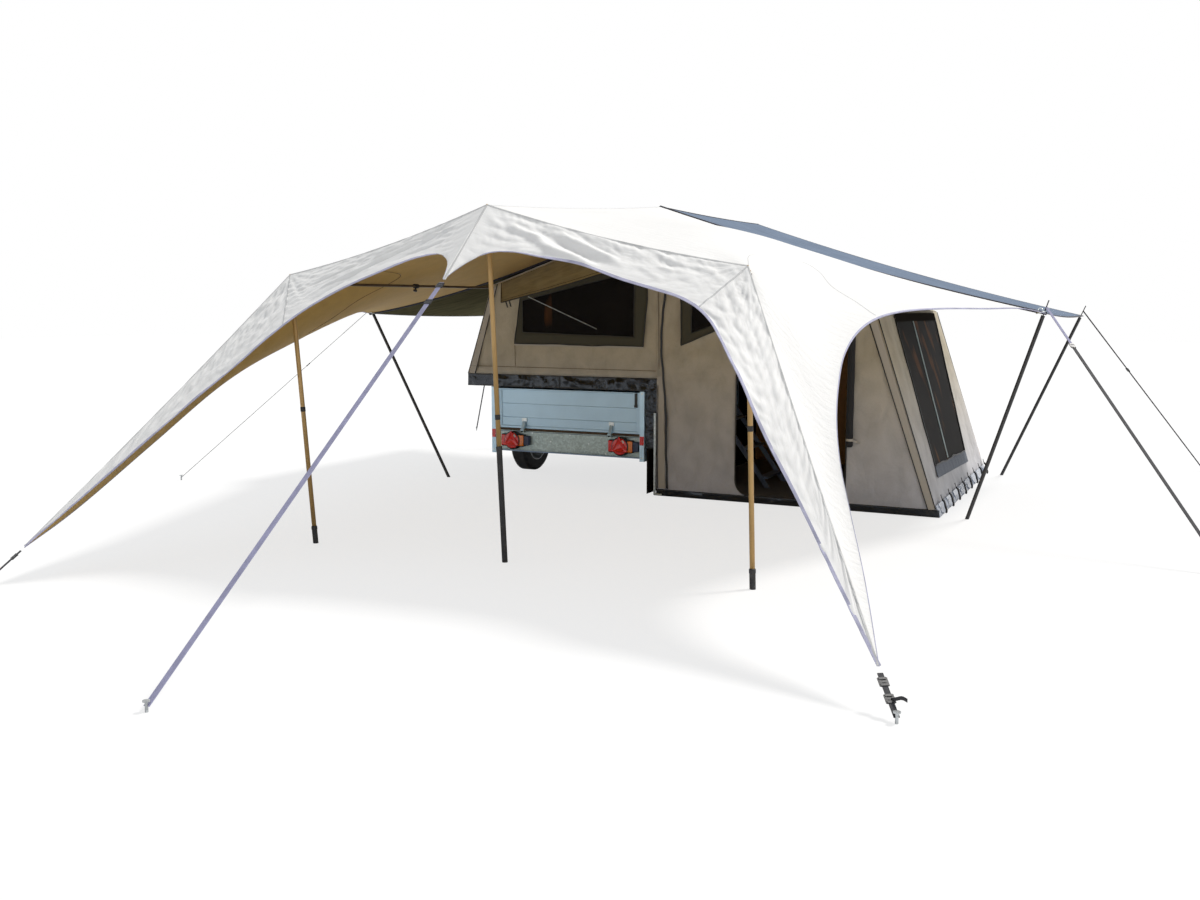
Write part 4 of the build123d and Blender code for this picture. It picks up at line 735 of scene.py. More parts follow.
def finish(name):
    """The material of that name, made when it is first asked for."""
    cloth, trailer = cloth_values(), trailer_values()
    makers = {
        "canopy": lambda: woven("canopy_cloth", cloth.canopy, 0.006, stretch=(1.0, 2.6), tint=0.955,
                                through=(0.75, 0.66, 0.50)),
        # Painted light: the front halves use a lighter copy of the canopy cloth, brightened to make up for
        # facing away from the sun.
        "canopy_front": lambda: woven("canopy_front_cloth_lightened", (0.93, 0.93, 0.925), 0.006, stretch=(0.45, 1.6),
                                      tint=0.97, through=(0.75, 0.66, 0.50), hollows=0.94),
        # Painted light: the underside's colour holds the glow of the sun shining through the cloth.
        "canopy_under": lambda: woven("canopy_underside_painted_glow", cloth.canopy_under, 0.004, tint=0.90,
                                      through=(0.95, 0.70, 0.40), hollows=0.9),
        "tent": lambda: woven("tent_canvas", cloth.tent, 0.014, stretch=(0.8, 0.55), hollows=0.82,
                              foot=cloth.tent_foot),
        "tent_inside": lambda: woven("tent_lining", cloth.tent_inside, 0.006),
        "tent_strip": lambda: woven("corner_strip_canvas", (0.46, 0.42, 0.36), 0.003),
        "fly": lambda: woven("fly_cloth", cloth.fly, 0.010, rough=0.85, stretch=(0.35, 3.0),
                             hollows=0.72, sheen=0.02),
        "fly_under": lambda: woven("fly_underside", cloth.fly_under, 0.010, hollows=0.6,
                                   stretch=(0.35, 3.0), sheen=0.0),
        "awning": lambda: woven("awning_cloth", cloth.awning, 0.010, hollows=0.75, stretch=(0.6, 1.6)),
        "mattress": lambda: woven("mattress_cover", (0.34, 0.30, 0.27), 0.004),
        "ground_sheet": lambda: woven("ground_sheet_cloth", (0.12, 0.10, 0.08), 0.004, rough=0.8),
        "window_frame": lambda: woven("window_frame_cloth", (0.075, 0.070, 0.048), 0.003, tint=0.85),
        "hem_band": lambda: woven("end_window_band_cloth", (0.085, 0.100, 0.130), 0.004, rough=0.7),
        "curtain": lambda: woven("inner_curtain_cloth", (0.026, 0.021, 0.018), 0.006, sheen=0.0),
        "door_roll": lambda: woven("rolled_door_cloth", (0.020, 0.020, 0.022), 0.004, rough=0.7),
        "mesh_head": lambda: woven("mesh_head_band", (0.022, 0.019, 0.016), 0.002, sheen=0.0),
        "mesh": lambda: net("insect_mesh", (0.006, 0.005, 0.0045), 0.95),
        "hem": lambda: webbing("edge_webbing", cloth.hem),
        "black_webbing": lambda: webbing("black_webbing", (0.020, 0.020, 0.024)),
        "strap_webbing": lambda: webbing("strap_webbing", (0.23, 0.23, 0.34)),
        "pale_zip": lambda: webbing("pale_zip_tape", (0.30, 0.36, 0.36)),
        "dark_hem": lambda: webbing("dark_edge_binding", (0.016, 0.017, 0.026)),
        "brown_hem": lambda: webbing("brown_edge_binding", (0.10, 0.075, 0.045)),
        "piping": lambda: painted("black_piping", (0.018, 0.018, 0.019), 0.5),
        "seam": lambda: woven("canopy_seam", shade(cloth.canopy, 0.66), 0.002),
        # Painted shade: the seams under the canopy are darkened to show less sun shining through the doubled
        # cloth.
        "under_seam": lambda: woven("canopy_under_seam", shade(cloth.canopy_under, 0.35), 0.002),
        "zip": lambda: painted("zip_tape", (0.024, 0.022, 0.020), 0.55),
        "coated": lambda: coated("coated_skirt", cloth.coated, 5.5, 0.020),
        "base_strip": lambda: coated("coated_base_strip", shade(cloth.coated, 0.6), 5.0, 0.008),
        "pale_coated": lambda: coated("coated_end_foot", (0.13, 0.16, 0.22), 3.0, 0.005),
        "alloy": lambda: metal("alloy_planks", trailer.alloy, 0.42, 0.55, (1.5, 1.5, 60.0), 1.08),
        "posts": lambda: metal("alloy_posts", shade(trailer.alloy, 1.05), 0.40, 0.6, (60.0, 60.0, 1.5)),
        "zinc": lambda: galvanised("galvanised_steel", trailer.zinc),
        "bright": lambda: metal("bright_zinc", (0.62, 0.66, 0.66), 0.30, 0.8),
        "blue_lip": lambda: metal("plate_lip", (0.20, 0.27, 0.38), 0.35, 0.5),
        "lamp": lambda: lens_plastic("red_lens", trailer.lamp),
        "amber": lambda: lens_plastic("amber_lens", (0.70, 0.17, 0.015)),
        "clear": lambda: lens_plastic("clear_lens", (0.62, 0.60, 0.62)),
        "black_plastic": lambda: painted("black_plastic", (0.014, 0.014, 0.016), 0.42),
        # Painted shade: a black bracket, coloured dark blue for the bluish shade beside the lamps.
        "blue_plastic": lambda: painted("lamp_bracket_painted_blue_shade", (0.020, 0.035, 0.090), 0.40),
        "red_band": lambda: lens_plastic("red_reflector", (0.60, 0.010, 0.012)),
        "rubber": lambda: rubber("tyre_rubber"),
        "small_rubber": lambda: rubber("small_wheel_rubber", (0.022, 0.022, 0.024)),
        "rim": lambda: painted("rim_silver", (0.50, 0.52, 0.54), 0.35, metallic=0.6),
        "guard": lambda: painted("mudguard_black", (0.018, 0.018, 0.020), 0.5),
        "deck": lambda: wood_board("plywood_deck", (0.16, 0.09, 0.045)),
        "board": lambda: wood_board("bed_board", (0.35, 0.26, 0.16)),
        "coupling": lambda: painted("coupling_cast", (0.030, 0.030, 0.033), 0.5, 90.0),
        "tent_tube": lambda: galvanised("tent_frame_steel", (0.42, 0.46, 0.46)),
        "ladder": lambda: metal("ladder_alloy", (0.22, 0.27, 0.36), 0.40, 0.7),
        "sand_pole": lambda: painted("sand_powder_coat", (0.47, 0.30, 0.115), 0.38, 220.0, 0.25),
        "black_pole": lambda: painted("black_powder_coat", (0.022, 0.022, 0.024), 0.40, 220.0),
        # Painted shade: the roof bars are given the dark brown they show in the shade under the canopy.
        "dark_bar": lambda: painted("roof_bar_painted_shade", (0.075, 0.050, 0.026), 0.4, 220.0),
        "sleeve": lambda: rubber("black_pole_sleeve", (0.018, 0.018, 0.019)),
        "peg": lambda: galvanised("peg_steel", (0.40, 0.42, 0.43)),
    }
    if name not in made_materials:
        made_materials[name] = makers[name]()
    return made_materials[name]


def dress(node, name):
    """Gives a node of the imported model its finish."""
    mesh = NODES[node].data
    mesh.materials.clear()
    mesh.materials.append(finish(name))


# Canopy
def fly_edge(side, along, count):
    """Half of a cross edge of the fly, from the ridge out: a straight fall and a parabola's sag."""
    t = np.linspace(0.0, 1.0, count)
    half, lift, drop = ((1 - along) * a + along * b for a, b in (FLY_HALF, FLY_LIFT, FLY_DROP))
    y = FLY_NEAR + (FLY_FAR - FLY_NEAR) * along
    sag = FLY_SAG + LEFT_NEAR_SAG * (1 - along) * (side < 0)
    z = RIDGE + lift - drop * t - 4 * sag * t * (1 - t)
    return np.stack([side * half * t, np.full(count, y), z], -1)


def pulled_in(tip, towards, amount=0.03):
    """A point a little way back from a tail's tip."""
    return tip + unit(np.asarray(towards) - tip) * amount


def hem_along(cloth_edge, inner_row, width, thick):
    """Webbing over a cloth's free edge: a flat band whose outer side lies just past the edge."""
    across = unit(inner_row - cloth_edge)
    return strip(cloth_edge + across * (width / 2 - 0.001), across, width, thick)


def on_cloth(cloth, places, count):
    """A smooth line over cloth through places given in x and y."""
    line = smooth_curve(places, count)
    flat = cloth.reshape(-1, 3)
    heights = []
    for place in line:
        near = np.argsort(np.linalg.norm(flat[:, :2] - place, axis=1))[:8]
        offsets = np.c_[flat[near, :2] - place, np.ones(8)]
        heights.append(np.linalg.lstsq(offsets, flat[near, 2], rcond=None)[0][2])
    return np.c_[line, heights]


def canopy_wing(side, pole, tail, scallop):
    """One side of the canopy: between the fly's edge, the ridge line, the line over the side pole to the
    tail, and the free edge."""
    across, along = 110, 130
    near = fly_edge(side, 0.0, across)
    ridge = sagging(near[0], POLE_CENTRE, 0.02, along)
    tip = pulled_in(tail, pole)
    over_pole = int(across * 0.46)
    hip = np.concatenate([sagging(POLE_CENTRE, pole, 0.035, over_pole),
                          sagging(pole, tip, 0.015, across - over_pole + 1)[1:]])
    free = smooth_curve([near[-1], *scallop, pulled_in(tail, scallop[-1])], along)
    fly_end = near[int(np.argmin(np.abs(near[:, 0] - 1.07 * pole[0])))]
    return stretched_between(near, hip, ridge, free, lines=((pole, fly_end),)), over_pole


def canopy_front(pole, tail, scallop, seam_point):
    """One side of the canopy's front: from the line over the poles down to the free edge, from the centre
    tail out to the side tail."""
    across, along = 64, 320
    over_pole = int(along * 0.46)
    top = np.concatenate([sagging(POLE_CENTRE, pole, 0.035, over_pole),
                          sagging(pole, pulled_in(tail, pole), 0.015, along - over_pole + 1)[1:]])
    start = pulled_in(TAIL_CENTRE, scallop[0])
    free = smooth_curve([start, *scallop, pulled_in(tail, scallop[-1])], 6 * along)
    cut = int(np.argmin(np.linalg.norm(free - seam_point, axis=1)))
    free = np.concatenate([evenly(free[:cut + 1], over_pole),
                           evenly(free[cut:], along - over_pole + 1)[1:]])
    spine = sagging(POLE_CENTRE, start, 0.0, across)
    end = sagging(top[-1], free[-1], 0.0, across)
    return stretched_between(top, free, spine, end, 500), over_pole


# Main folds of the two front halves: start and end as shares of the way from the centre pole to the side
# pole and of the way from the ridge to the hem, width and depth
FRONT_FOLDS = {
    1: ((0.10, 0.12, 0.36, 0.62, 0.030, -1.1), (0.28, 0.48, 0.58, 0.97, 0.028, -1.3),
        (0.17, 0.06, 0.62, 0.90, 0.030, 1.0), (0.30, 0.10, 0.66, 0.66, 0.028, -1.0),
        (0.36, 0.06, 0.80, 0.72, 0.026, 0.7), (0.50, 0.20, 0.84, 0.80, 0.022, -0.6),
        (0.02, 0.05, 0.16, 0.45, 0.024, -0.5), (0.20, 0.75, 0.42, 0.98, 0.022, 0.5)),
    -1: ((0.10, 0.02, 0.62, 0.42, 0.020, -1.2), (0.20, 0.14, 0.80, 0.66, 0.018, -1.0),
         (0.05, 0.10, 0.50, 0.45, 0.018, 0.9), (0.34, 0.20, 0.92, 0.62, 0.016, 0.8),
         (0.42, 0.08, 0.98, 0.36, 0.016, -0.8), (0.12, 0.36, 0.48, 0.80, 0.020, -0.6),
         (0.55, 0.45, 0.95, 0.85, 0.018, -0.6)),
}


def front_creases(cloth, side, over_pole):
    """Folds of the front: large ones from the ridge line towards the hem, small ones across them, crumples
    round the side pole, and long ones down the tail from the hem towards the ridge."""
    at = grid_lengths(cloth)
    u, v = shares(*cloth.shape[:2])
    pole_u = over_pole / cloth.shape[0]
    tail = np.clip((u - pole_u) / 0.06 + 0.5, 0.0, 1.0)
    seed = 5 if side > 0 else 105
    turn, wave = (20, 0.085) if side > 0 else (7, 0.060)
    main = pressed(at, [(a * pole_u, b, c * pole_u, d, width, depth)
                        for a, b, c, d, width, depth in FRONT_FOLDS[side]])
    lower = np.clip(1.25 - 1.1 * v, 0.0, 1.0)
    wide = 0.45 * folds(at, seed, radians(turn), wave, 0.18, 9, 0.6) * lower
    fine = 0.20 * folds(at, seed + 1, radians(turn + 35), 0.042, 0.35, 12, 0.7) * (1.0 - 0.8 * v)
    corner = at[over_pole - 1, 0]
    crumples = radiating(at.reshape(-1, 2), corner, 17, 0.20, seed + 2).reshape(u.shape[0], -1)
    long_ones = folds(at, seed + 3, radians(-21), 0.11, 0.14, 10, 0.75) * (1.0 - 0.45 * v)
    short = folds(at, seed + 4, radians(-48), 0.050, 0.30, 12, 0.7) * (1.0 - 0.6 * v)
    down = np.clip(1.15 - (u - pole_u) / (1 - pole_u), 0.0, 1.0)
    fade = np.clip(v / 0.05, 0.0, 1.0) * np.clip((1.0 - v) / 0.06, 0.0, 1.0)
    ends = np.clip(u / 0.05, 0.0, 1.0) * np.clip((1.0 - u) / 0.08, 0.0, 1.0)
    valance = main + wide + fine
    hanging = down * (0.80 * long_ones + 0.28 * short)
    return fade * ends * ((1 - tail) * valance + tail * hanging + 0.45 * crumples)


def wing_creases(cloth, side, over_pole):
    """Soft folds of a wing, fading at all its edges, and small creases along the line over the pole."""
    at = grid_lengths(cloth)
    u, v = shares(*cloth.shape[:2])
    past_pole = np.clip((u - over_pole / cloth.shape[0]) / 0.05 + 0.5, 0.0, 1.0)
    near_hip = past_pole * np.exp(-((1.0 - v) / 0.10) ** 2) * np.clip((1.0 - u) / 0.15, 0.0, 1.0)
    small = folds(at, 23, radians(70), 0.060, 0.3, 9, 0.6)
    wide = folds(at, 21 if side > 0 else 22, radians(60), 0.55, 0.5)
    return off_edges(u, v) * (0.7 * wide + 0.55 * near_hip * small)


class CARAVAN_OT_add_canopy(bpy.types.Operator):
    """Adds the sand canopy: two wings, two front halves, hems and seams"""

    bl_idname = "caravan.add_canopy"
    bl_label = "Canopy"

    def execute(self, context):
        cloth = cloth_values()
        thick = cloth.canopy_thick
        hems, seams, under_seams = [], [], []
        for side, name, pole, tail, side_scallop, front_scallop, seam_point in (
            (-1, "left", POLE_LEFT, TAIL_LEFT, SIDE_SCALLOP_LEFT, FRONT_SCALLOP_LEFT, SEAM_POINT_LEFT),
            (1, "right", POLE_RIGHT, TAIL_RIGHT, SIDE_SCALLOP_RIGHT, FRONT_SCALLOP_RIGHT, SEAM_POINT_RIGHT),
        ):
            wing, over = canopy_wing(side, pole, tail, side_scallop)
            shown = lifted(wing, cloth.top_folds * wing_creases(wing, side, over))
            add_cloth("canopy_wing_" + name, as_shape(shown, side > 0), ("canopy", "canopy_under"),
                      "sand_canvas", thick, grid_lengths(wing), grid_area(wing), WING_CUT,
                      replaces=("canopy_top_" + name, "canopy_side_" + name),
                      rests_on=["canopy_poles", "fly_poles"])
            hems.append(hem_along(shown[-1], shown[-3], cloth.hem_width, thick + 0.003))
            places = np.array(WING_SEAM) * (side, 1.0) + (0.25 * (side < 0), 0.0)
            over_wing, level = on_cloth(shown, places, 90), (side * 0.25, 0.9, 0.1)
            seams.append(strip(over_wing, level, 0.009, thick + 0.0016))
            under_seams.append(strip(over_wing - (0.0, 0.0, 0.003), level, 0.012, 0.003))
            front, over = canopy_front(pole, tail, front_scallop, seam_point)
            draped = lifted(front, cloth.front_folds * front_creases(front, side, over))
            add_cloth("canopy_front_" + name + "_half", as_shape(draped, side > 0),
                      ("canopy_front", "canopy_under"), "sand_canvas", thick, grid_lengths(front),
                      grid_area(front), FRONT_CUT, replaces=("canopy_front_" + name,),
                      rests_on=["canopy_poles"])
            hems.append(hem_along(draped[:, -1], draped[:, -4], cloth.hem_width, thick + 0.003))
            ridge_band = draped[:, 0] + np.array((0.0, 0.0, 0.0005))
            seams.append(strip(ridge_band, unit(draped[:, 1] - draped[:, 0]), 0.010, thick + 0.0030))
            pole_seam, along = draped[over - 1], unit(np.gradient(draped, axis=0)[over - 1])
            seams.append(strip(pole_seam, along, 0.012, thick + 0.0016))
            if side > 0:
                seams.append(strip(draped[0], (1.0, 0.0, 0.0), 0.016, thick + 0.0020))
        add_piece("canopy_hems", together(*hems), "hem", smooth=False)
        add_piece("canopy_seams", together(*seams), "seam", smooth=False)
        add_piece("canopy_under_seams", together(*under_seams), "under_seam", smooth=False)
        return {"FINISHED"}


# Fly roof
class CARAVAN_OT_add_fly(bpy.types.Operator):
    """Adds the two halves of the fly roof with their dark edge binding and ridge seam"""

    bl_idname = "caravan.add_fly"
    bl_label = "Fly roof"

    def execute(self, context):
        cloth = cloth_values()
        thick = cloth.canopy_thick
        bands = []
        for side, name in ((-1, "left"), (1, "right")):
            near, far = fly_edge(side, 0.0, 120), fly_edge(side, 1.0, 120)
            sheet = stretched_between(near, far, sagging(near[0], far[0], 0.012, 90),
                                      sagging(near[-1], far[-1], 0.020, 90))
            at = grid_lengths(sheet)
            waves = folds(at, 31 + side, radians(3), 0.30, 0.10)
            shown = lifted(sheet, 1.6 * cloth.top_folds * off_edges(*shares(120, 90)) * waves)
            add_cloth("fly_half_" + name, as_shape(shown, side < 0), ("fly", "fly_under"), "fly_canvas",
                      thick, at, grid_area(sheet), FLY_CUT, replaces=("fly_roof_" + name,),
                      rests_on=["fly_poles", "tent_roof"])
            bands.append(hem_along(shown[:, 0], shown[:, 3], 0.028, thick + 0.007))
            bands.append(hem_along(shown[:, -1], shown[:, -4], 0.026, thick + 0.003))
            bands.append(hem_along(shown[-1], shown[-4], 0.026, thick + 0.003))
            roll = near + np.array((0.0, -0.004, -0.006 * (side < 0)))
            bands.append(tube(roll, 0.0125, 8, (0.0, 1.0, 0.0)))
        ridge_line = sagging(fly_edge(1, 0.0, 2)[0], fly_edge(1, 1.0, 2)[0], 0.012, 40)
        bands.append(strip(ridge_line, (1.0, 0.0, 0.0), 0.030, thick + 0.003))
        add_piece("fly_edge_binding", together(*bands), "dark_hem", smooth=False)
        return {"FINISHED"}


# Walls
def cut_panel(outline, holes, step):
    """A flat cloth: a square grid over the outline's reach, cut along each edge of the outline and of the
    holes, with what lies outside or in a hole taken away. Outlines run counter-clockwise and are convex."""
    outline = np.asarray(outline, float)
    low, high = outline.min(0), outline.max(0)
    counts = np.ceil((high - low) / step).astype(int) + 1
    lines = [np.linspace(low[k], high[k], counts[k]) for k in range(2)]
    grid = np.stack(np.meshgrid(*lines, indexing="ij"), -1).reshape(-1, 2)
    mesh = bpy.data.meshes.new("panel")
    mesh.from_pydata(np.c_[grid, np.zeros(len(grid))].tolist(), [], quads(*counts))
    sheet = bmesh.new()
    sheet.from_mesh(mesh)
    bpy.data.meshes.remove(mesh)
    for p, q in zip(outline, np.roll(outline, -1, axis=0)):
        geometry = sheet.verts[:] + sheet.edges[:] + sheet.faces[:]
        bmesh.ops.bisect_plane(sheet, geom=geometry, dist=1e-6, plane_co=(*p, 0.0),
                               plane_no=(q[1] - p[1], p[0] - q[0], 0.0), clear_outer=True)
    for hole in holes:
        hole = np.asarray(hole, float)
        ahead = np.roll(hole, -1, axis=0)
        outward = np.stack([ahead[:, 1] - hole[:, 1], hole[:, 0] - ahead[:, 0]], -1)
        low, high = hole.min(0) - step, hole.max(0) + step
        for p, way in zip(hole, outward):
            near = [f for f in sheet.faces if (low < f.calc_center_median()[:2]).all()
                    and (f.calc_center_median()[:2] < high).all()]
            corners, edges = {v for f in near for v in f.verts}, {e for f in near for e in f.edges}
            geometry = [*corners, *edges, *near]
            bmesh.ops.bisect_plane(sheet, geom=geometry, dist=1e-6, plane_co=(*p, 0.0),
                                   plane_no=(*way, 0.0))
        inside = []
        for face in sheet.faces:
            middle = np.array(face.calc_center_median()[:2])
            if (((middle - hole) * outward).sum(1) < 0).all():
                inside.append(face)
        bmesh.ops.delete(sheet, geom=inside, context="FACES")
    sheet.verts.ensure_lookup_table()
    sheet.verts.index_update()
    points = np.array([v.co[:2] for v in sheet.verts])
    faces = [[v.index for v in face.verts] for face in sheet.faces]
    sheet.free()
    return points, faces


def edge_distance(points, outlines):
    """Distance of each point from the nearest edge of any outline."""
    nearest = np.full(len(points), 1e9)
    for outline in outlines:
        start = np.asarray(outline, float)
        run = np.roll(start, -1, axis=0) - start
        away = points[:, None] - start[None]
        share = np.clip((away * run).sum(-1) / (run**2).sum(-1), 0.0, 1.0)
        nearest = np.minimum(nearest, np.linalg.norm(away - share[..., None] * run, axis=-1).min(1))
    return nearest


def outline_area(outline):
    """Area of a flat outline, by the sum of its edges' cross products."""
    a = np.asarray(outline, float)
    b = np.roll(a, -1, axis=0)
    return abs(float((a[:, 0] * b[:, 1] - a[:, 1] * b[:, 0]).sum() / 2))


def wall_piece(name, outline, holes, to_space, out, relief, node, outward=True):
    """A wall of cloth: a cut panel, pushed out of its plane by its relief except near its edges."""
    points, faces = cut_panel(outline, holes, 0.045)
    fade = np.clip(edge_distance(points, [outline, *holes]) / 0.10, 0.0, 1.0) ** 0.7
    height = np.minimum(relief(points) - 0.007, 0.001)
    shape = to_space(points) + np.asarray(out, float) * (height * fade)[:, None]
    size = np.ptp(np.asarray(outline), axis=0)
    area = outline_area(outline) - sum(outline_area(hole) for hole in holes)
    add_cloth(name, (shape, faces if outward else [f[::-1] for f in faces]), ("tent", "tent_inside"),
              "tent_canvas", CANVAS, points, area, (float(size[0]), float(size[1])), offset=-1.0,
              replaces=(node,), rests_on=["tent_frame"])


def radiating(points, centre, count, reach, seed):
    """Folds that run out from one place: a wave round it that fades with distance."""
    away = points - np.asarray(centre)
    distance = np.linalg.norm(away, axis=1)
    angle = np.arctan2(away[:, 1], away[:, 0])
    phases = np.random.default_rng(seed).uniform(0.0, 2 * pi, 3)
    wave = (np.sin(count * angle + phases[0]) + 0.6 * np.sin(1.7 * count * angle + phases[1])
            + 0.4 * np.sin(2.9 * count * angle + phases[2]))
    return wave * distance / (distance + 0.12) * np.exp(-distance / reach)


def frame_band(outer, inner, to_space, out, lift, thick, seed):
    """A flat band between two outlines, a little in front of the wall, its surface slightly uneven."""
    rows, across = 40, 5
    outer, inner = (np.concatenate([np.linspace(p, q, rows, endpoint=False)
                                    for p, q in zip(line, np.roll(line, -1, axis=0))])
                    for line in (outer, inner))
    share = np.linspace(0.0, 1.0, across)[:, None, None]
    flat = outer[None] * (1 - share) + inner[None] * share
    wave = folds(flat, seed, 0.3, 0.12, 0.8) * np.sin(pi * share[..., 0])
    front = to_space(flat.reshape(-1, 2)) + np.asarray(out) * (lift + 0.002 * wave.reshape(-1, 1))
    back = to_space(flat.reshape(-1, 2)) + np.asarray(out) * (lift - thick)
    count = outer.shape[0]
    faces = quads(across, count, ring=True)
    rim = [[k, (k + 1) % count] for k in range(count)]
    first = across * count
    sides = [[a, a + first, b + first, b] for a, b in rim]
    last = (across - 1) * count
    sides += [[b + last, b + last + first, a + last + first, a + last] for a, b in rim]
    return (np.concatenate([front, back]),
            [f[::-1] for f in faces] + [[c + first for c in f] for f in faces] + sides)


def piped(outline, to_space, out, radius, waver, seed):
    """Piping round an outline, a little in front of the wall and not quite straight."""
    phases = np.random.default_rng(seed).uniform(0.0, 2 * pi, 4)
    cords = []
    for p, q, phase in zip(outline, np.roll(outline, -1, axis=0), phases):
        t = np.linspace(0.0, 1.0, 24)[:, None]
        flat = np.asarray(p) * (1 - t) + np.asarray(q) * t
        run = unit(np.asarray(q, float) - np.asarray(p, float))
        reach = np.linalg.norm(np.asarray(q) - np.asarray(p))
        wave = np.sin(9.0 * reach * t + phase) + 0.5 * np.sin(23.0 * reach * t + phase)
        flat = flat + waver * np.sin(pi * t) * wave * np.array((-run[1], run[0]))
        cords.append(tube(to_space(flat) + out * 0.005, radius, 6, out))
    return cords


def near_space(points):
    """Places on the near wall, from x and z."""
    return np.stack([points[:, 0], np.zeros(len(points)), points[:, 1]], -1)


def far_space(points):
    """Places on the far wall's outer face, from x and z."""
    return np.stack([points[:, 0], np.full(len(points), TENT_DEPTH), points[:, 1]], -1)


def lean_of(foot, eave):
    """How far an end wall leans for each metre of height."""
    return (eave[0] - foot[0]) / (eave[1] - foot[1])


def leaning_space(foot, eave):
    """A function that puts y and z on an end wall's outer face."""
    lean = lean_of(foot, eave)
    return lambda p: np.stack([foot[0] + lean * (p[:, 1] - foot[1]), p[:, 0], p[:, 1]], -1)


def leaning_out(side, foot, eave):
    """The direction square to an end wall's outer face."""
    return unit(np.array((side, 0.0, -side * lean_of(foot, eave))))


# Windows and their frames: near walls in x and z, end walls in y and z
NEAR_OUT, FAR_OUT = np.array((0.0, -1.0, 0.0)), np.array((0.0, 1.0, 0.0))
BED_WINDOW = np.array(((-1.385, 0.405), (-0.230, 0.370), (-0.230, 0.950), (-1.385, 0.700))) + (0, BED_TOP)
SMALL_WINDOW = np.array(((0.330, -1.010), (0.700, -0.880), (0.700, -0.450), (0.330, -0.300))) + (0, RIDGE)
BED_END_WINDOW = np.array(((0.5, 0.24), (2.3, 0.24), (2.3, 0.70), (0.5, 0.70))) + (0, BED_TOP)
END_WINDOW = np.array(((0.433, 0.363), (1.990, 0.320), (2.560, 1.590), (0.618, 1.590)))
BED_FRAME = np.array(((-1.477, 0.296), (-0.134, 0.285), (-0.073, 1.065), (-1.406, 0.790))) + (0, BED_TOP)
SMALL_FRAME = np.array(((0.229, -1.121), (0.800, -0.882), (0.800, -0.390), (0.229, -0.160))) + (0, RIDGE)
BED_END_FRAME = np.array(((0.44, 0.16), (2.36, 0.16), (2.36, 0.75), (0.44, 0.75))) + (0, BED_TOP)
DOOR_LEFT, DOOR_RIGHT, DOOR_SILL, DOOR_CORNER = 0.750, 1.720, 0.062, 0.130


def door_outline():
    """The doorway with its two round lower corners, in x and z."""
    slope = (LIVING_EAVE[1] - RIDGE) / LIVING_EAVE[0]
    top = RIDGE + slope * DOOR_RIGHT - CANVAS - 0.046
    angles = np.radians(np.linspace(0.0, 90.0, 8))
    low = DOOR_SILL + DOOR_CORNER
    left = [(DOOR_LEFT + DOOR_CORNER - DOOR_CORNER * cos(a), low - DOOR_CORNER * sin(a)) for a in angles]
    right = [(DOOR_RIGHT - DOOR_CORNER + DOOR_CORNER * sin(a), low - DOOR_CORNER * cos(a)) for a in angles]
    return np.array([(DOOR_LEFT, top), *left, *right, (DOOR_RIGHT, top)])


# Zip between the bed's wall and the living room's, in x and z
ZIP_LINE = ((0.075, 2.42), (0.067, 1.79), (0.045, 1.50), (0.037, 1.29), (0.047, 1.20), (0.058, 1.12),
            (0.090, 0.60), (0.100, 0.07))
# Stitched lines of the near walls, in x and z
STITCHES = (((-1.985, 1.135), (-0.010, 1.128)), ((-1.475, 1.350), (-1.470, 1.140)),
            ((0.020, 1.150), (0.000, 2.400)))


PIPING = 0.0045


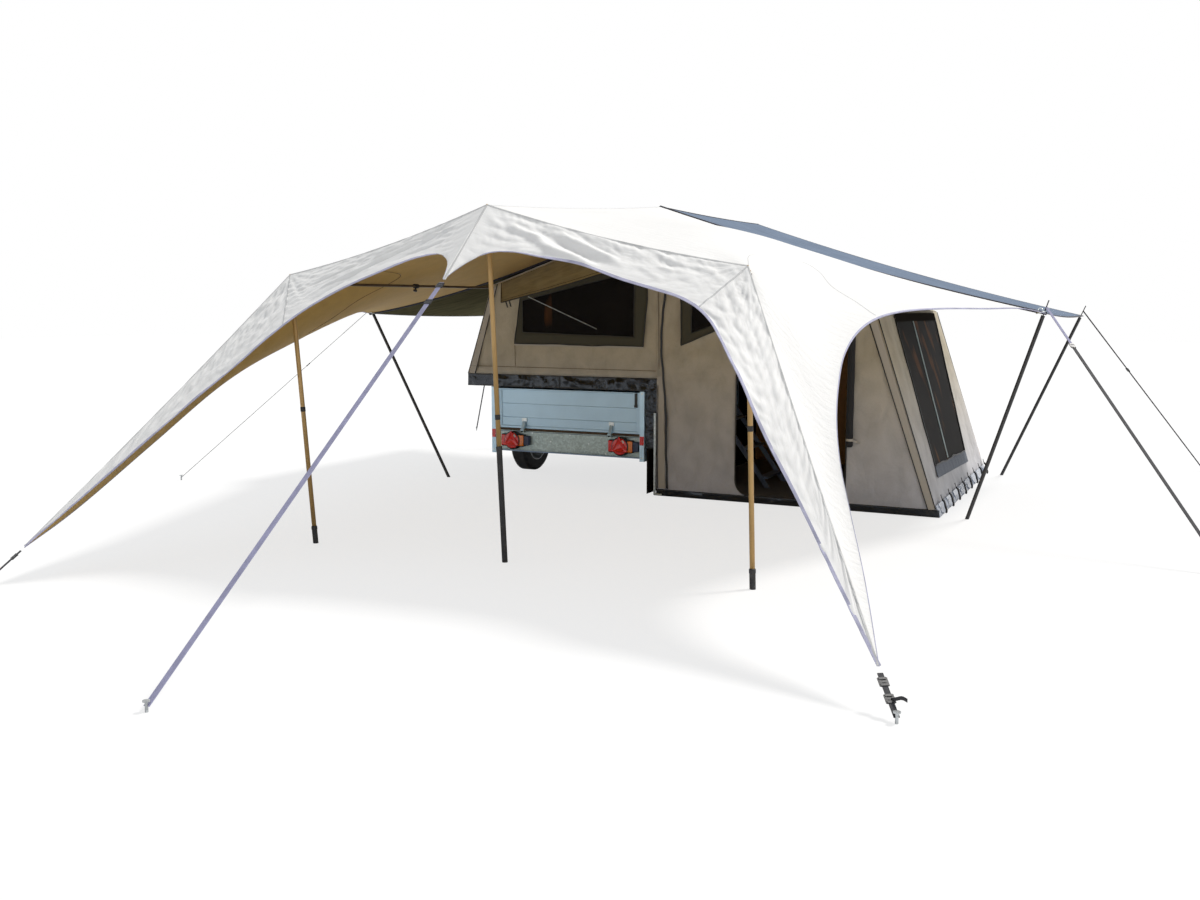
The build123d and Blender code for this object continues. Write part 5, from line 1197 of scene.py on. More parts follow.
class CARAVAN_OT_add_walls(bpy.types.Operator):
    """Adds the tent's walls and roof as cloth, with folds, corner strips and black piping"""

    bl_idname = "caravan.add_walls"
    bl_label = "Walls and roof"

    def execute(self, context):
        depth = cloth_values().wall_folds
        under = RIDGE - CANVAS
        bed_outline = np.array(((BED_FOOT[0], BED_FOOT[1]), (0.0, BED_FOOT[1]), (0.0, under),
                                (BED_EAVE[0] + 0.004, BED_EAVE[1] - 0.006)))
        living_outline = np.array(((0.0, 0.0), (LIVING_FOOT[0], 0.0),
                                   (LIVING_EAVE[0] - 0.003, LIVING_EAVE[1] - 0.006), (0.0, under)))

        def bed_relief(p):
            low = np.exp(-((p[:, 1] - BED_FOOT[1] - 0.10) / 0.10) ** 2)
            corner = radiating(p, (-1.477, 1.356), 7, 0.3, 40)
            return depth * (0.40 * folds(p, 41, 0.1, 0.30) + 0.40 * low * folds(p, 42, 0.0, 0.08, 0.1)
                            + 0.45 * folds(p, 48, 0.9, 0.13, 0.5, 9, 0.5) * (0.4 + low) + 0.5 * corner)

        def living_relief(p):
            corner = radiating(p, (0.04, BED_TOP + 0.06), 11, 0.6, 43)
            low = np.exp(-(p[:, 1] / 0.30) ** 2)
            return depth * (0.9 * corner + 0.40 * folds(p, 44, 1.25, 0.26, 0.35, 9, 0.4)
                            + 0.45 * low * folds(p, 45, 1.5, 0.11, 0.4, 9, 0.4)
                            + 0.30 * folds(p, 49, 0.5, 0.10, 0.7, 12, 0.5))

        near_windows = [door_outline(), SMALL_WINDOW]
        for name, node, outline, near_holes, far_holes, relief in (
            ("bed", "bed", bed_outline, [BED_WINDOW], [BED_WINDOW], bed_relief),
            ("living", "living", living_outline, near_windows, [SMALL_WINDOW], living_relief),
        ):
            wall_piece(name + "_near_wall", outline, near_holes, near_space, NEAR_OUT, relief,
                       "near_wall_" + node)
            wall_piece(name + "_far_wall", outline, far_holes, far_space, FAR_OUT, relief,
                       "far_wall_" + node, outward=False)
        for name, foot, eave, window, side in (("bed_end", BED_FOOT, BED_EAVE, BED_END_WINDOW, -1),
                                               ("living_end", LIVING_FOOT, LIVING_EAVE, END_WINDOW, 1)):
            top = eave[1] - 0.005
            outline = np.array(((0.0, foot[1]), (TENT_DEPTH, foot[1]), (TENT_DEPTH, top), (0.0, top)))

            def end_relief(p, seed=50 + side):
                far_edge = np.exp(-((p[:, 0] - TENT_DEPTH + 0.22) / 0.20) ** 2)
                return depth * (0.7 * folds(p, seed, 1.45, 0.28, 0.2)
                                + 1.6 * far_edge * folds(p, seed, 1.5, 0.075, 0.1))

            wall_piece(name + "_cloth", outline, [window], leaning_space(foot, eave),
                       leaning_out(side, foot, eave), end_relief, name + "_wall", outward=side > 0)
        self.roof(depth)
        self.piping()
        return {"FINISHED"}

    def roof(self, depth):
        """The tent's own roof below the fly: two slopes that meet at the ridge."""
        across = np.concatenate([np.linspace(0.0, 1.0, 45), np.linspace(1.0, 2.0, 45)[1:]])
        x = np.interp(across, (0.0, 1.0, 2.0), (BED_EAVE[0], 0.0, LIVING_EAVE[0]))
        z = np.interp(across, (0.0, 1.0, 2.0), (BED_EAVE[1], RIDGE, LIVING_EAVE[1]))
        y = np.linspace(0.0, TENT_DEPTH, 60)
        sheet = np.stack([np.repeat(x[:, None], 60, 1), np.repeat(y[None], len(x), 0),
                          np.repeat(z[:, None], 60, 1)], -1)
        at = grid_lengths(sheet)
        area = grid_area(sheet)
        along = np.sin(pi * np.linspace(0, 1, 60))[None] ** 0.5
        fade = (np.abs(np.sin(pi * across)) ** 0.5)[:, None] * along
        sheet[..., 2] -= depth * fade * (0.8 + 0.7 * folds(at, 47, 0.1, 0.4))
        add_cloth("tent_roof_cloth", as_shape(sheet), ("tent", "tent_inside"), "tent_canvas", CANVAS, at,
                  area, (ROOF_WIDTH, TENT_DEPTH), offset=-1.0, replaces=("tent_roof",),
                  rests_on=["tent_frame"])

    def piping(self):
        """Black piping down the corners of both near gables, the zip between bed and living room, and the
        pale strips beside the piping."""
        cords = []
        face = -0.004
        corners = (
            ((BED_FOOT[0] + 0.004, BED_FOOT[1]), (BED_EAVE[0] + 0.006, BED_EAVE[1] - 0.02)),
            ((BED_FOOT[0] + 0.085, BED_FOOT[1]), (BED_EAVE[0] + 0.070, BED_EAVE[1] + 0.01)),
            ((2.460, 0.070), (1.940, 1.650)),
            ((2.400, 0.060), (1.852, 1.655)),
        )
        for low, high in corners:
            path = np.linspace((low[0], face, low[1]), (high[0], face, high[1]), 12)
            for shift in (0.0, TENT_DEPTH - 2 * face):
                cords.append(tube(path + np.array((0.0, shift, 0.0)), PIPING, 8, FAR_OUT))
        zip_line = smooth_curve([(x, face, z) for x, z in ZIP_LINE], 90)
        zip_line[:, 0] += 0.0035 * np.sin(11.0 * zip_line[:, 2]) + 0.002 * np.sin(29.0 * zip_line[:, 2])
        cords.append(strip(zip_line, (1.0, 0.0, 0.0), 0.014, 0.006))
        cords.append(tube(zip_line + np.array((0.010, -0.001, 0.0)), 0.0035, 8, FAR_OUT))
        cords.append(rod((0.012, face, 1.00), (0.012, face, 0.07), PIPING, 12, FAR_OUT))
        add_piece("wall_piping", together(*cords), "piping")
        strips = []
        for (x0, z0), (x1, z1), shift, across, width, count in (
            ((0.034, 1.08), (0.055, 0.07), 0.001, (1.0, 0.0, 0.0), 0.066, 20),
            ((2.430, 0.06), (1.892, 1.650), 0.002, (1.0, 0.0, 0.35), 0.056, 30),
            ((-1.477, 1.346), (-0.134, 1.335), 0.001, (0.0, 0.0, 1.0), 0.014, 20),
            ((BED_FOOT[0] + 0.045, BED_FOOT[1] + 0.004), (BED_EAVE[0] + 0.038, BED_EAVE[1] - 0.01), 0.002,
             (1.0, 0.0, -0.33), 0.066, 20),
        ):
            strips.append(tape((x0, face + shift, z0), (x1, face + shift, z1), across, width, 0.004, count))
        add_piece("corner_strips", together(*strips), "tent_strip", smooth=False)
        stitches = []
        for (x0, z0), (x1, z1) in STITCHES:
            path = np.linspace((x0, face + 0.0015, z0), (x1, face + 0.0015, z1), 12)
            stitches.append(tube(path, 0.0022, 6, FAR_OUT))
        add_piece("wall_stitches", together(*stitches), "brown_hem")


class CARAVAN_OT_add_windows(bpy.types.Operator):
    """Adds the dark window frames, the insect mesh, the zips, the doorway's edge, the rolled door and the
    awning over the bed window"""

    bl_idname = "caravan.add_windows"
    bl_label = "Windows and door"

    def execute(self, context):
        rows = (
            ("bed", BED_FRAME, BED_WINDOW, near_space, NEAR_OUT),
            ("small", SMALL_FRAME, SMALL_WINDOW, near_space, NEAR_OUT),
            ("bed_far", BED_FRAME, BED_WINDOW, far_space, FAR_OUT),
            ("small_far", SMALL_FRAME, SMALL_WINDOW, far_space, FAR_OUT),
            ("bed_end", BED_END_FRAME, BED_END_WINDOW, leaning_space(BED_FOOT, BED_EAVE),
             leaning_out(-1, BED_FOOT, BED_EAVE)),
        )
        for number, (name, outer, inner, to_space, out) in enumerate(rows):
            points, faces = frame_band(outer, inner, to_space, out, 0.003, 0.005, 60 + number)
            turned = name in ("bed_far", "small_far", "bed_end")
            add_piece("window_frame_" + name, (points, [f[::-1] for f in faces] if turned else faces),
                      "window_frame")
            cords = piped(outer, to_space, out, PIPING, 0.005, number)
            cords += piped(inner, to_space, out, 0.0022, 0.002, number + 10)
            add_piece("window_edge_" + name, together(*cords), "piping")
        dress("window_mesh", "mesh")
        self.end_window()
        self.door()
        self.awning()
        return {"FINISHED"}

    def end_window(self):
        """The end window's piping on three sides, the bands above and below it and the zip down it."""
        to_space, out = leaning_space(LIVING_FOOT, LIVING_EAVE), leaning_out(1, LIVING_FOOT, LIVING_EAVE)
        sill, right, _, left = piped(END_WINDOW, to_space, out, 0.0065, 0.007, 31)
        add_piece("window_edge_end", together(sill, right, left), "piping")
        line = to_space(np.linspace((1.387, 1.585), (1.085, 0.360), 30)) + out * 0.004
        add_piece("end_window_zip", strip(line, (0.0, 1.0, 0.24), 0.026, 0.005), "pale_zip",
                  smooth=False)
        above = np.linspace(((0.614, 1.568), (0.626, 1.640)), ((2.555, 1.568), (2.582, 1.640)), 40)
        add_piece("end_window_head", (to_space(above.reshape(-1, 2)) + out * 0.0080, faces_of(above)),
                  "mesh_head", smooth=False)
        below = np.array(((0.412, 0.265), (2.000, 0.215), (2.008, 0.318), (0.427, 0.362)))
        points, faces = cut_panel(below, [], 0.02)
        fade = np.clip(edge_distance(points, [below]) / 0.03, 0.0, 1.0)
        lift = 0.005 + 0.006 * fade * (0.6 + 0.5 * folds(points, 75, 1.3, 0.10, 0.5, 9, 0.4))
        add_cloth("end_window_band", (to_space(points) + out * lift[:, None], faces), "hem_band",
                  "tent_canvas", 0.003, points, outline_area(below), WINDOW_BAND_CUT, offset=-1.0,
                  rests_on=["living_end_wall"])

    def door(self):
        """The bound edge of the doorway, and the door rolled up beside it with its two ties."""
        outline = door_outline()
        path = near_space(np.concatenate([outline, outline[:1]])) + 0.003 * NEAR_OUT
        binding = [rod(start, end, 0.006, 4, FAR_OUT) for start, end in zip(path, path[1:])]
        add_piece("doorway_binding", together(*binding), "zip")
        low, high = tent_box("door_roll")
        x, y = (low[0] + high[0]) / 2, (low[1] + high[1]) / 2
        rows, sides = 90, 120
        z = np.linspace(low[2], high[2], rows)[:, None]
        angle = np.linspace(0.0, 2 * pi, sides, endpoint=False)[None]
        turns = 0.5 + 0.5 * np.sin(3 * angle + 2.0 * np.sin(2.1 * z))
        wrap = (high[0] - low[0]) / 2 * (0.90 + 0.05 * turns + 0.03 * np.sin(23 * z + 2 * angle))
        levels = (low[2] + 0.06, high[2] - 0.20)
        ties = sum(np.exp(-((z - level) / 0.012) ** 2) for level in levels)
        wrap = wrap * (1 - 0.22 * ties) * np.clip((z - low[2]) / 0.03 + 0.75, 0.0, 1.0)
        rings = np.stack([x + wrap * np.cos(angle), y + wrap * np.sin(angle), z + 0.0 * angle], -1)
        add_piece("rolled_door", capped(rings, turned=True), "door_roll",
                  replaces=("door_roll",))
        bands = []
        for level in levels:
            ring = np.stack([x + 0.027 * np.cos(angle[0]), y + 0.027 * np.sin(angle[0]),
                             np.full(sides, level)], -1)
            bands.append(strip(np.concatenate([ring, ring[:1]]), (0.0, 0.0, 1.0), 0.020, 0.003))
        tail = smooth_curve(((x + 0.026, y - 0.01, low[2] + 0.06), (x + 0.05, -0.010, low[2] + 0.045),
                             (x + 0.085, -0.006, low[2] + 0.035)), 12)
        bands.append(strip(tail, (0.0, 0.3, 1.0), 0.018, 0.003))
        add_piece("door_ties", together(*bands), "tent_strip", smooth=False)

    def awning(self):
        """The awning over the bed window: cloth between its hinge line and its free edge, with its hem."""
        slope = (BED_EAVE[1] - RIDGE) / BED_EAVE[0]
        hinge = np.array([(x, -0.001, RIDGE - CANVAS + slope * x - 0.015) for x in (-1.62, -0.20)])
        free = np.array([(-1.381, -0.400, BED_TOP + 0.677), (-0.860, -0.410, BED_TOP + 0.790),
                         (-0.330, -0.400, BED_TOP + 0.925)])
        top, low = evenly(hinge, 60), smooth_curve(free, 60)
        sheet = stretched_between(top, low, evenly(np.array([top[0], low[0]]), 24),
                                  evenly(np.array([top[-1], low[-1]]), 24), 60)
        at = grid_lengths(sheet)
        u, v = shares(60, 24)
        wave = folds(at, 71, 1.2, 0.22, 0.4) * np.sin(pi * u) ** 0.5 * np.sin(pi * v * 0.9)
        shown = lifted(sheet, 0.006 * wave)
        add_cloth("bed_window_awning", as_shape(shown, turned=True), "awning", "tent_canvas", 0.004, at,
                  grid_area(sheet), AWNING_CUT, replaces=("window_awning",), rests_on=["tent_frame"])
        inwards = unit(shown[:, -3] - shown[:, -1])
        bands = [hem_along(shown[:, -1], shown[:, -3], 0.009, 0.008),
                 strip(shown[:, -1] + inwards * 0.045, inwards, 0.006, 0.0062),
                 hem_along(shown[0], shown[2], 0.010, 0.007), hem_along(shown[-1], shown[-3], 0.012, 0.007)]
        for share in (0.05, 0.09):
            place = shown[int(share * 60), -1]
            bands.append(tape(place, place + (0.012, 0.010, -0.055), (1.0, 0.0, 0.0), 0.014, 0.003, 4))
        add_piece("awning_hem", together(*bands), "zip", smooth=False)


# Skirt, base strip, ground sheet and mattress
def crumpled(corner, right, down, seed, depth, columns=150, rows=30, turn=0.6):
    """A hanging coated cloth: a flat grid from a corner along two sides, with folds that grow downwards."""
    v, u = shares(rows, columns)
    sheet = np.asarray(corner) + u[..., None] * np.asarray(right) + v[..., None] * np.asarray(down)
    at = grid_lengths(sheet)
    out = unit(np.cross(np.asarray(down, float), np.asarray(right, float)))
    grow = np.clip(v * 2.5, 0.0, 1.0)
    wide = folds(at, seed, turn, 0.17, 0.7, 14, 0.4)
    small = folds(at, seed + 1, -turn, 0.085, 0.7, 12, 0.5)
    wave = np.maximum(0.35 + (wide + 0.35 * small), -0.05)
    return sheet + out * (depth * (0.25 + grow) * wave)[..., None]


class CARAVAN_OT_add_skirt(bpy.types.Operator):
    """Adds the glossy skirt round the bed, the flap beside the box, the base strip and the ground sheet"""

    bl_idname = "caravan.add_skirt"
    bl_label = "Skirt and base"

    def execute(self, context):
        left, low = BED_LEFT - 0.004, SKIRT_LOW
        hang = (0.0, 0.0, low - BED_TOP)
        sheets = []
        for seed, corner, right in (
            (81, (left, -0.005, BED_TOP), (-left, 0.0, 0.0)),
            (83, (0.0, TENT_DEPTH + 0.005, BED_TOP), (left, 0.0, 0.0)),
            (85, (left, TENT_DEPTH, BED_TOP), (0.0, -TENT_DEPTH, 0.0)),
        ):
            sheets.append(as_shape(crumpled(corner, right, hang, seed, 0.0075, 320, 36)))
        length = -2 * left + TENT_DEPTH
        add_cloth("coated_skirt", together(*sheets), "coated", "pvc", 0.0025, None, length * -hang[2],
                  (length, -hang[2]), "hung", replaces=("bed_skirt",), rests_on=["bed_platform"])
        flap = crumpled((BOX_HIGH[0] + 0.008, 0.003, low + 0.005), (-BOX_HIGH[0] - 0.008, 0.0, 0.0),
                        (0.0, 0.0, FLAP_LOW - low - 0.005), 87, 0.004, 24, 90, 1.3)
        add_cloth("flap_beside_box", as_shape(flap), "coated", "pvc", 0.0025, None, 0.11 * FLAP_CUT[1],
                  FLAP_CUT, "hung", rests_on=["bed_platform"])
        bands = []
        for start, end, across, width, thick, count in (
            ((left, -0.006, low + 0.006), (0.0, -0.006, low + 0.006), (0.0, 0.0, 1.0), 0.012, 0.006, 40),
            ((left, -0.004, BED_TOP - 0.006), (0.0, -0.004, BED_TOP - 0.006), (0.0, 0.0, 1.0), 0.014, 0.006,
             40),
            ((-0.990, -0.009, BED_TOP - 0.01), (-0.990, -0.009, low + 0.004), (1.0, 0.0, 0.0), 0.010, 0.003,
             8),
        ):
            bands.append(tape(start, end, across, width, thick, count))
        add_piece("skirt_bindings", together(*bands), "piping", smooth=False)
        self.base()
        self.curtain()
        self.floor_cloth()
        return {"FINISHED"}

    def base(self):
        """The coated strip round the foot of the living room's walls, black at the front and back and pale
        and higher at the end, where hooks hold it to its pegs."""
        right, depth, high, end_high = LIVING_FOOT[0] + 0.003, TENT_DEPTH + 0.003, 0.062, 0.095
        sheets = []
        for seed, corner, along in ((91, (0.0, -0.003, high), (right, 0.0, 0.0)),
                                    (95, (right, depth, high), (-right, 0.0, 0.0))):
            foot = crumpled(corner, along, (0.0, 0.0, 0.002 - high), seed, 0.0022, 160, 8, 1.4)
            sheets.append(as_shape(foot))
        add_cloth("coated_base", together(*sheets), "base_strip", "mud_flap", 0.0035, None,
                  2 * right * high, (2 * right, high), "hung", replaces=("mud_flaps",),
                  rests_on=["near_wall_living"])
        lean = lean_of(LIVING_FOOT, LIVING_EAVE) * end_high
        foot = crumpled((right + lean, -0.003, end_high), (0.0, depth + 0.003, 0.0),
                        (-lean, 0.0, 0.003 - end_high), 93, 0.0045, 200, 20, 1.1)
        add_cloth("end_wall_foot", as_shape(foot), "pale_coated", "mud_flap", 0.0035, None,
                  depth * end_high, (depth, end_high), "hung", rests_on=["living_end_wall"])
        hooks = []
        for y in np.arange(0.22, depth, 0.36):
            bend = ((-0.018, 0.0, 0.118), (-0.002, 0.0, 0.100), (0.012, 0.0, 0.055), (0.020, 0.01, 0.020),
                    (0.016, 0.02, 0.008))
            path = smooth_curve(np.array(bend) + (right, y, 0.0), 18)
            hooks.append(tube(path, 0.0085, 8, (0.0, 1.0, 0.0)))
            hooks.append(tape((right - 0.016, y, 0.112), (right - 0.030, y, 0.155), (0.0, 1.0, 0.0), 0.022,
                              0.004, 4))
        add_piece("foot_hooks", together(*hooks), "black_plastic")

    def curtain(self):
        """The dark curtain inside: from the trailer's side to the floor, cut out round the axle, up to the
        bed in front of the box, and turned in along the floor in front of the wheel."""
        x, front = BOX_HIGH[0] + 0.014, TENT_DEPTH - 0.012
        top, full = 0.520, tent_box("bed_platform")[0][2] - 0.004
        low, high = tent_box("tyre_right")
        middle = (low + high) / 2
        angle = np.linspace(0.0, 2 * pi, 12, endpoint=False)
        hole = np.stack([middle[1] + 0.075 * np.cos(angle), middle[2] + 0.075 * np.sin(angle)], -1)
        step = BOX_HIGH[1] + 0.006
        outline = np.array(((0.012, 0.006), (front, 0.006), (front, full), (0.012, full)))
        beside_box = np.array(((0.0, top), (step, top), (step, full + 0.02), (0.0, full + 0.02)))
        points, faces = cut_panel(outline, [hole, beside_box], 0.05)
        fade = np.clip(edge_distance(points, [outline, hole, beside_box]) / 0.08, 0.0, 1.0)
        lift = 0.004 * fade * folds(points, 98, 1.4, 0.12, 0.3)
        hung = (np.stack([x + lift, points[:, 0], points[:, 1]], -1), faces)
        near, edge = high[1] + 0.050, tent_box("ground_sheet")[0][0] + 0.010
        turned_in = np.array([[(x, y, 0.006), (edge, y, 0.006)] for y in np.linspace(near, front, 20)])
        corner = np.array([[(x, front, z), (edge, front, z)] for z in np.linspace(0.006, full, 20)])
        parts = [hung, as_shape(turned_in), as_shape(corner)]
        at = np.concatenate([points, turned_in.reshape(-1, 3)[:, [1, 0]], corner.reshape(-1, 3)[:, [0, 2]]])
        area = outline_area(outline) - (step - 0.012) * (full - top) + (front - near + full) * (edge - x)
        add_cloth("inner_curtain", together(*parts), "curtain", "pvc", 0.002, at, area, (TENT_DEPTH, full),
                  "hung", rests_on=["ground_sheet"])

    def floor_cloth(self):
        """The ground sheet, with shallow waves, cut out round the trailer's wheel."""
        low, high = tent_box("ground_sheet")
        wheel_low, wheel_high = tent_box("tyre_right")
        notch = [(low[0], wheel_low[1] - 0.04), (wheel_high[0] + 0.04, wheel_low[1] - 0.04),
                 (wheel_high[0] + 0.04, wheel_high[1] + 0.04), (low[0], wheel_high[1] + 0.04)]
        outline = [(low[0], low[1]), (high[0], low[1]), (high[0], high[1]), (low[0], high[1])]
        points, faces = cut_panel(outline, [notch], 0.06)
        fade = np.clip(edge_distance(points, [outline, notch]) / 0.1, 0.0, 1.0)
        lift = 0.0012 * fade * (1.0 + folds(points, 97, 0.8, 0.35, 0.9))
        shape = np.concatenate([points, (0.0030 + np.clip(lift, 0.0, 0.006))[:, None]], 1)
        size = (high - low)[:2]
        add_cloth("floor_cloth", (shape, faces), "ground_sheet", "ground_sheet", 0.0025, points,
                  float(size[0] * size[1]) - 0.2, (float(size[0]), float(size[1])), "laid", offset=-1.0,
                  replaces=("ground_sheet",))


class CARAVAN_OT_add_mattress(bpy.types.Operator):
    """Adds the mattress: crowned top and pulled-in seams"""

    bl_idname = "caravan.add_mattress"
    bl_label = "Mattress"

    def execute(self, context):
        low, high = tent_box("mattress")
        middle, half = (low + high) / 2, (high - low) / 2
        u, v = np.linspace(-1.0, 1.0, 90)[:, None], np.linspace(-1.0, 1.0, 120)[None]
        power = 14.0
        edge = np.clip(1.0 - np.abs(u) ** power, 0.0, 1.0) * np.clip(1.0 - np.abs(v) ** power, 0.0, 1.0)
        channels = 0.5 * (1 - np.exp(-((np.abs(u * half[0]) - 0.31) / 0.018) ** 2))
        channels = channels + 0.5 * (1 - np.exp(-((np.mod(v * half[1] + 0.2, 0.4) - 0.2) / 0.018) ** 2))
        top = middle[2] + half[2] * edge ** 0.35 * (0.86 + 0.14 * channels)
        bottom = middle[2] - half[2] * edge ** 0.25
        pull = 1.0 - 0.010 * (1 - edge ** 0.5)
        flat = np.stack([middle[0] + u * half[0] * pull, middle[1] + v * half[1] * pull], -1)
        upper, lower = (np.concatenate([flat, height[..., None]], -1) for height in (top, bottom))
        piece = add_piece("bed_mattress", together(as_shape(upper), as_shape(lower, turned=True)),
                          "mattress", uv=np.concatenate([flat.reshape(-1, 2)] * 2),
                          replaces=("mattress",))
        merge_doubles(piece, 0.0006)
        return {"FINISHED"}


def merge_doubles(piece, distance):
    """Joins points that lie together, so that a shell is closed."""
    sheet = bmesh.new()
    sheet.from_mesh(piece.data)
    bmesh.ops.remove_doubles(sheet, verts=sheet.verts, dist=distance)
    bmesh.ops.dissolve_degenerate(sheet, edges=sheet.edges, dist=1e-6)
    bmesh.ops.recalc_face_normals(sheet, faces=sheet.faces)
    sheet.to_mesh(piece.data)
    sheet.free()


# Trailer
# Bolts of the lamp plate, in x and z
PLATE_BOLTS = ((-1.099, 0.433), (-0.893, 0.508), (-0.695, 0.434), (-1.300, 0.508), (-0.520, 0.350))
LAMP_MIDDLE, LAMP_HEIGHT, LAMP_FACE, LAMP_BACK = 0.235, 0.432, -0.037, 0.015


def bolt(place, way, radius=0.008, height=0.006):
    """A hexagon bolt head with its washer."""
    place, way = np.asarray(place, float), unit(np.asarray(way, float))
    washer = turning(place, place + way, ((0.0, radius * 1.5), (0.0015, radius * 1.5)), 12)
    head = turning(place, place + way, ((0.0015, radius), (height - 0.001, radius),
                                        (height, radius * 0.85)), 6)
    return together(washer, head)


class CARAVAN_OT_finish_trailer(bpy.types.Operator):
    """Gives the trailer its finishes, and adds the gate's profiles, latch, bolts, plates and reflectors"""

    bl_idname = "caravan.finish_trailer"
    bl_label = "Trailer"

    def execute(self, context):
        for node, name in (
            ("chassis_frame", "zinc"), ("drawbar", "zinc"), ("axle", "zinc"), ("lamp_plate", "zinc"),
            ("load_floor", "deck"), ("side_wall_left", "alloy"), ("side_wall_right", "alloy"),
            ("front_wall", "alloy"), ("corner_posts", "posts"), ("tailgate", "alloy"),
            ("mudguards", "guard"), ("tow_coupling", "coupling"), ("jockey_tube", "zinc"),
            ("jockey_fork", "zinc"), ("jockey_wheel", "small_rubber"), ("bed_platform", "board"),
            ("tent_frame", "tent_tube"), ("ladder", "ladder"), ("roof_bars", "dark_bar"),
        ):
            dress(node, name)
        self.gate()
        self.rear()
        return {"FINISHED"}

    def gate(self):
        """Parts that swing with the gate: rounded profile edges, hinge plates with bolts, and the latch."""
        low, high = tent_box("tailgate")
        face = 0.015
        left, right, top = low[0], high[0], high[2]
        foot = BOX_LOW[2] + 0.026
        alloy = [rod((x, face + 0.003, BOX_LOW[2] + 0.06), (x, face + 0.003, top - 0.012), 0.003)
                 for x in (left + 0.042, right - 0.042)]
        for z, inset, out, radius in (
            (BOX_LOW[2] + 0.046, 0.03, 0.002, 0.0032), (top - 0.010, 0.03, 0.002, 0.0032),
            (foot + 0.27 * (top - foot), 0.045, 0.006, 0.0022),
            (foot + 0.62 * (top - foot), 0.045, 0.006, 0.0022),
        ):
            alloy.append(rod((left + inset, face + out, z), (right - inset, face + out, z), radius))
        add_piece("gate_profiles", together(*alloy), "alloy", body="tailgate")
        plates = []
        for x in (-1.385, -0.460):
            plates.append(brick((x - 0.026, face - 0.004, 0.612), (x + 0.026, face + 0.006, 0.646)))
            plates.append(brick((x - 0.015, face - 0.0045, 0.552), (x + 0.015, face + 0.005, 0.616)))
            for dx, z in ((-0.016, 0.630), (0.016, 0.630), (0.0, 0.580)):
                plates.append(bolt((x + dx, face - 0.0045, z), (0, -1, 0), 0.005, 0.005))
        soften(add_piece("hinge_plates", together(*plates), "bright", body="tailgate",
                         smooth=False), 0.0008)
        x = -0.212
        latch = [tape((x, face - 0.003, top - 0.004), (x, face - 0.003, 0.795), (1.0, 0.0, 0.0), 0.026, 0.004,
                      8),
                 brick((x - 0.016, face - 0.008, 0.790), (x + 0.016, face, 0.812))]
        soften(add_piece("gate_latch", together(*latch), "black_plastic", body="tailgate",
                         smooth=False), 0.001)

    def rear(self):
        """Plate bolts, reflector bands, the lip's blue edge and the post caps, fixed to the box."""
        plate, rear = 0.015, -0.020
        places = [(x, plate, z) for x, z in PLATE_BOLTS]
        posts = (BOX_LOW[0] + 0.0225, BOX_HIGH[0] - 0.0225)
        bolts = [bolt(place, (0, -1, 0), 0.005, 0.004) for place in places]
        bolts += [bolt((x, rear, z), (0, -1, 0), 0.006, 0.004) for x in posts for z in (0.335, 0.920)]
        add_piece("rear_bolts", together(*bolts), "bright", smooth=False)
        bands = [brick((x - 0.020, rear - 0.003, 0.452), (x + 0.020, rear + 0.001, 0.532)) for x in posts]
        soften(add_piece("reflector_bands", together(*bands), "red_band", smooth=False), 0.001)
        low, high = tent_box("lamp_plate")
        lip = [brick((low[0], -0.0165, low[2] - 0.0005), (high[0], -0.0145, low[2] + 0.010)),
               rod((low[0], 0.013, 0.515), (high[0], 0.013, 0.515), 0.003)]
        add_piece("plate_lip_edge", together(*lip), "blue_lip", smooth=False)
        caps = [brick((x - 0.001, rear - 0.001, 0.940), (x + 0.046, 0.046, 0.943))
                for x in (BOX_LOW[0], BOX_HIGH[0] - 0.045)]
        soften(add_piece("post_caps", together(*caps), "black_plastic", smooth=False), 0.0008)


class CARAVAN_OT_add_lamps(bpy.types.Operator):
    """Adds the two rear lamps: body, round back, coloured lenses and the triangular reflector"""

    bl_idname = "caravan.add_lamps"
    bl_label = "Rear lamps"

    def execute(self, context):
        red, black, amber, clear, blue = [], [], [], [], []
        z, face, back = LAMP_HEIGHT, LAMP_FACE, LAMP_BACK
        for x in (BOX_LOW[0] + LAMP_MIDDLE, BOX_HIGH[0] - LAMP_MIDDLE):
            for boxes, left, right, front, rear, half, radius in (
                (black, -0.125, 0.125, face + 0.006, back, 0.059, 0.012),
                (red, -0.122, -0.062, face, face + 0.02, 0.052, 0.008),
                (amber, 0.062, 0.122, face, face + 0.02, 0.052, 0.008),
                (blue, 0.122, 0.176, face + 0.012, back, 0.045, 0.006),
            # Painted shade: the dark blue block right of each lamp is a black bracket in bluish shade.
            ):
                boxes.append(rounded_box((x + left, front, z - half), (x + right, rear, z + half), radius))
            for turned, shift, start, rise, sides, profile in (
                (black, 0.0, back, 0.0, 24, ((0.0, 0.080), (0.004, 0.088), (0.046, 0.088), (0.056, 0.084),
                                             (0.058, 0.078))),
                (red, 0.0, face - 0.004, 0.0, 24, ((0.0, 0.070), (0.003, 0.076), (0.006, 0.074),
                                                   (0.007, 0.066))),
                (clear, 0.030, face - 0.001, 0.044, 16, ((0.0, 0.016), (0.013, 0.016), (0.015, 0.012))),
            ):
                place = np.array((x + shift, start, z + rise))
                turned.append(turning(place, place + NEAR_OUT, profile, sides))
            red.append(triangle_reflector(x, face - 0.010, z, 0.165, 0.014))
        add_piece("lamp_lenses", together(*red), "lamp", replaces=("tail_lamps",))
        for name, pieces, look in (("amber_lenses", amber, "amber"), ("bodies", black, "black_plastic"),
                                   ("small_lenses", clear, "clear"), ("brackets", blue, "blue_plastic")):
            add_piece("lamp_" + name, together(*pieces), look)
        return {"FINISHED"}


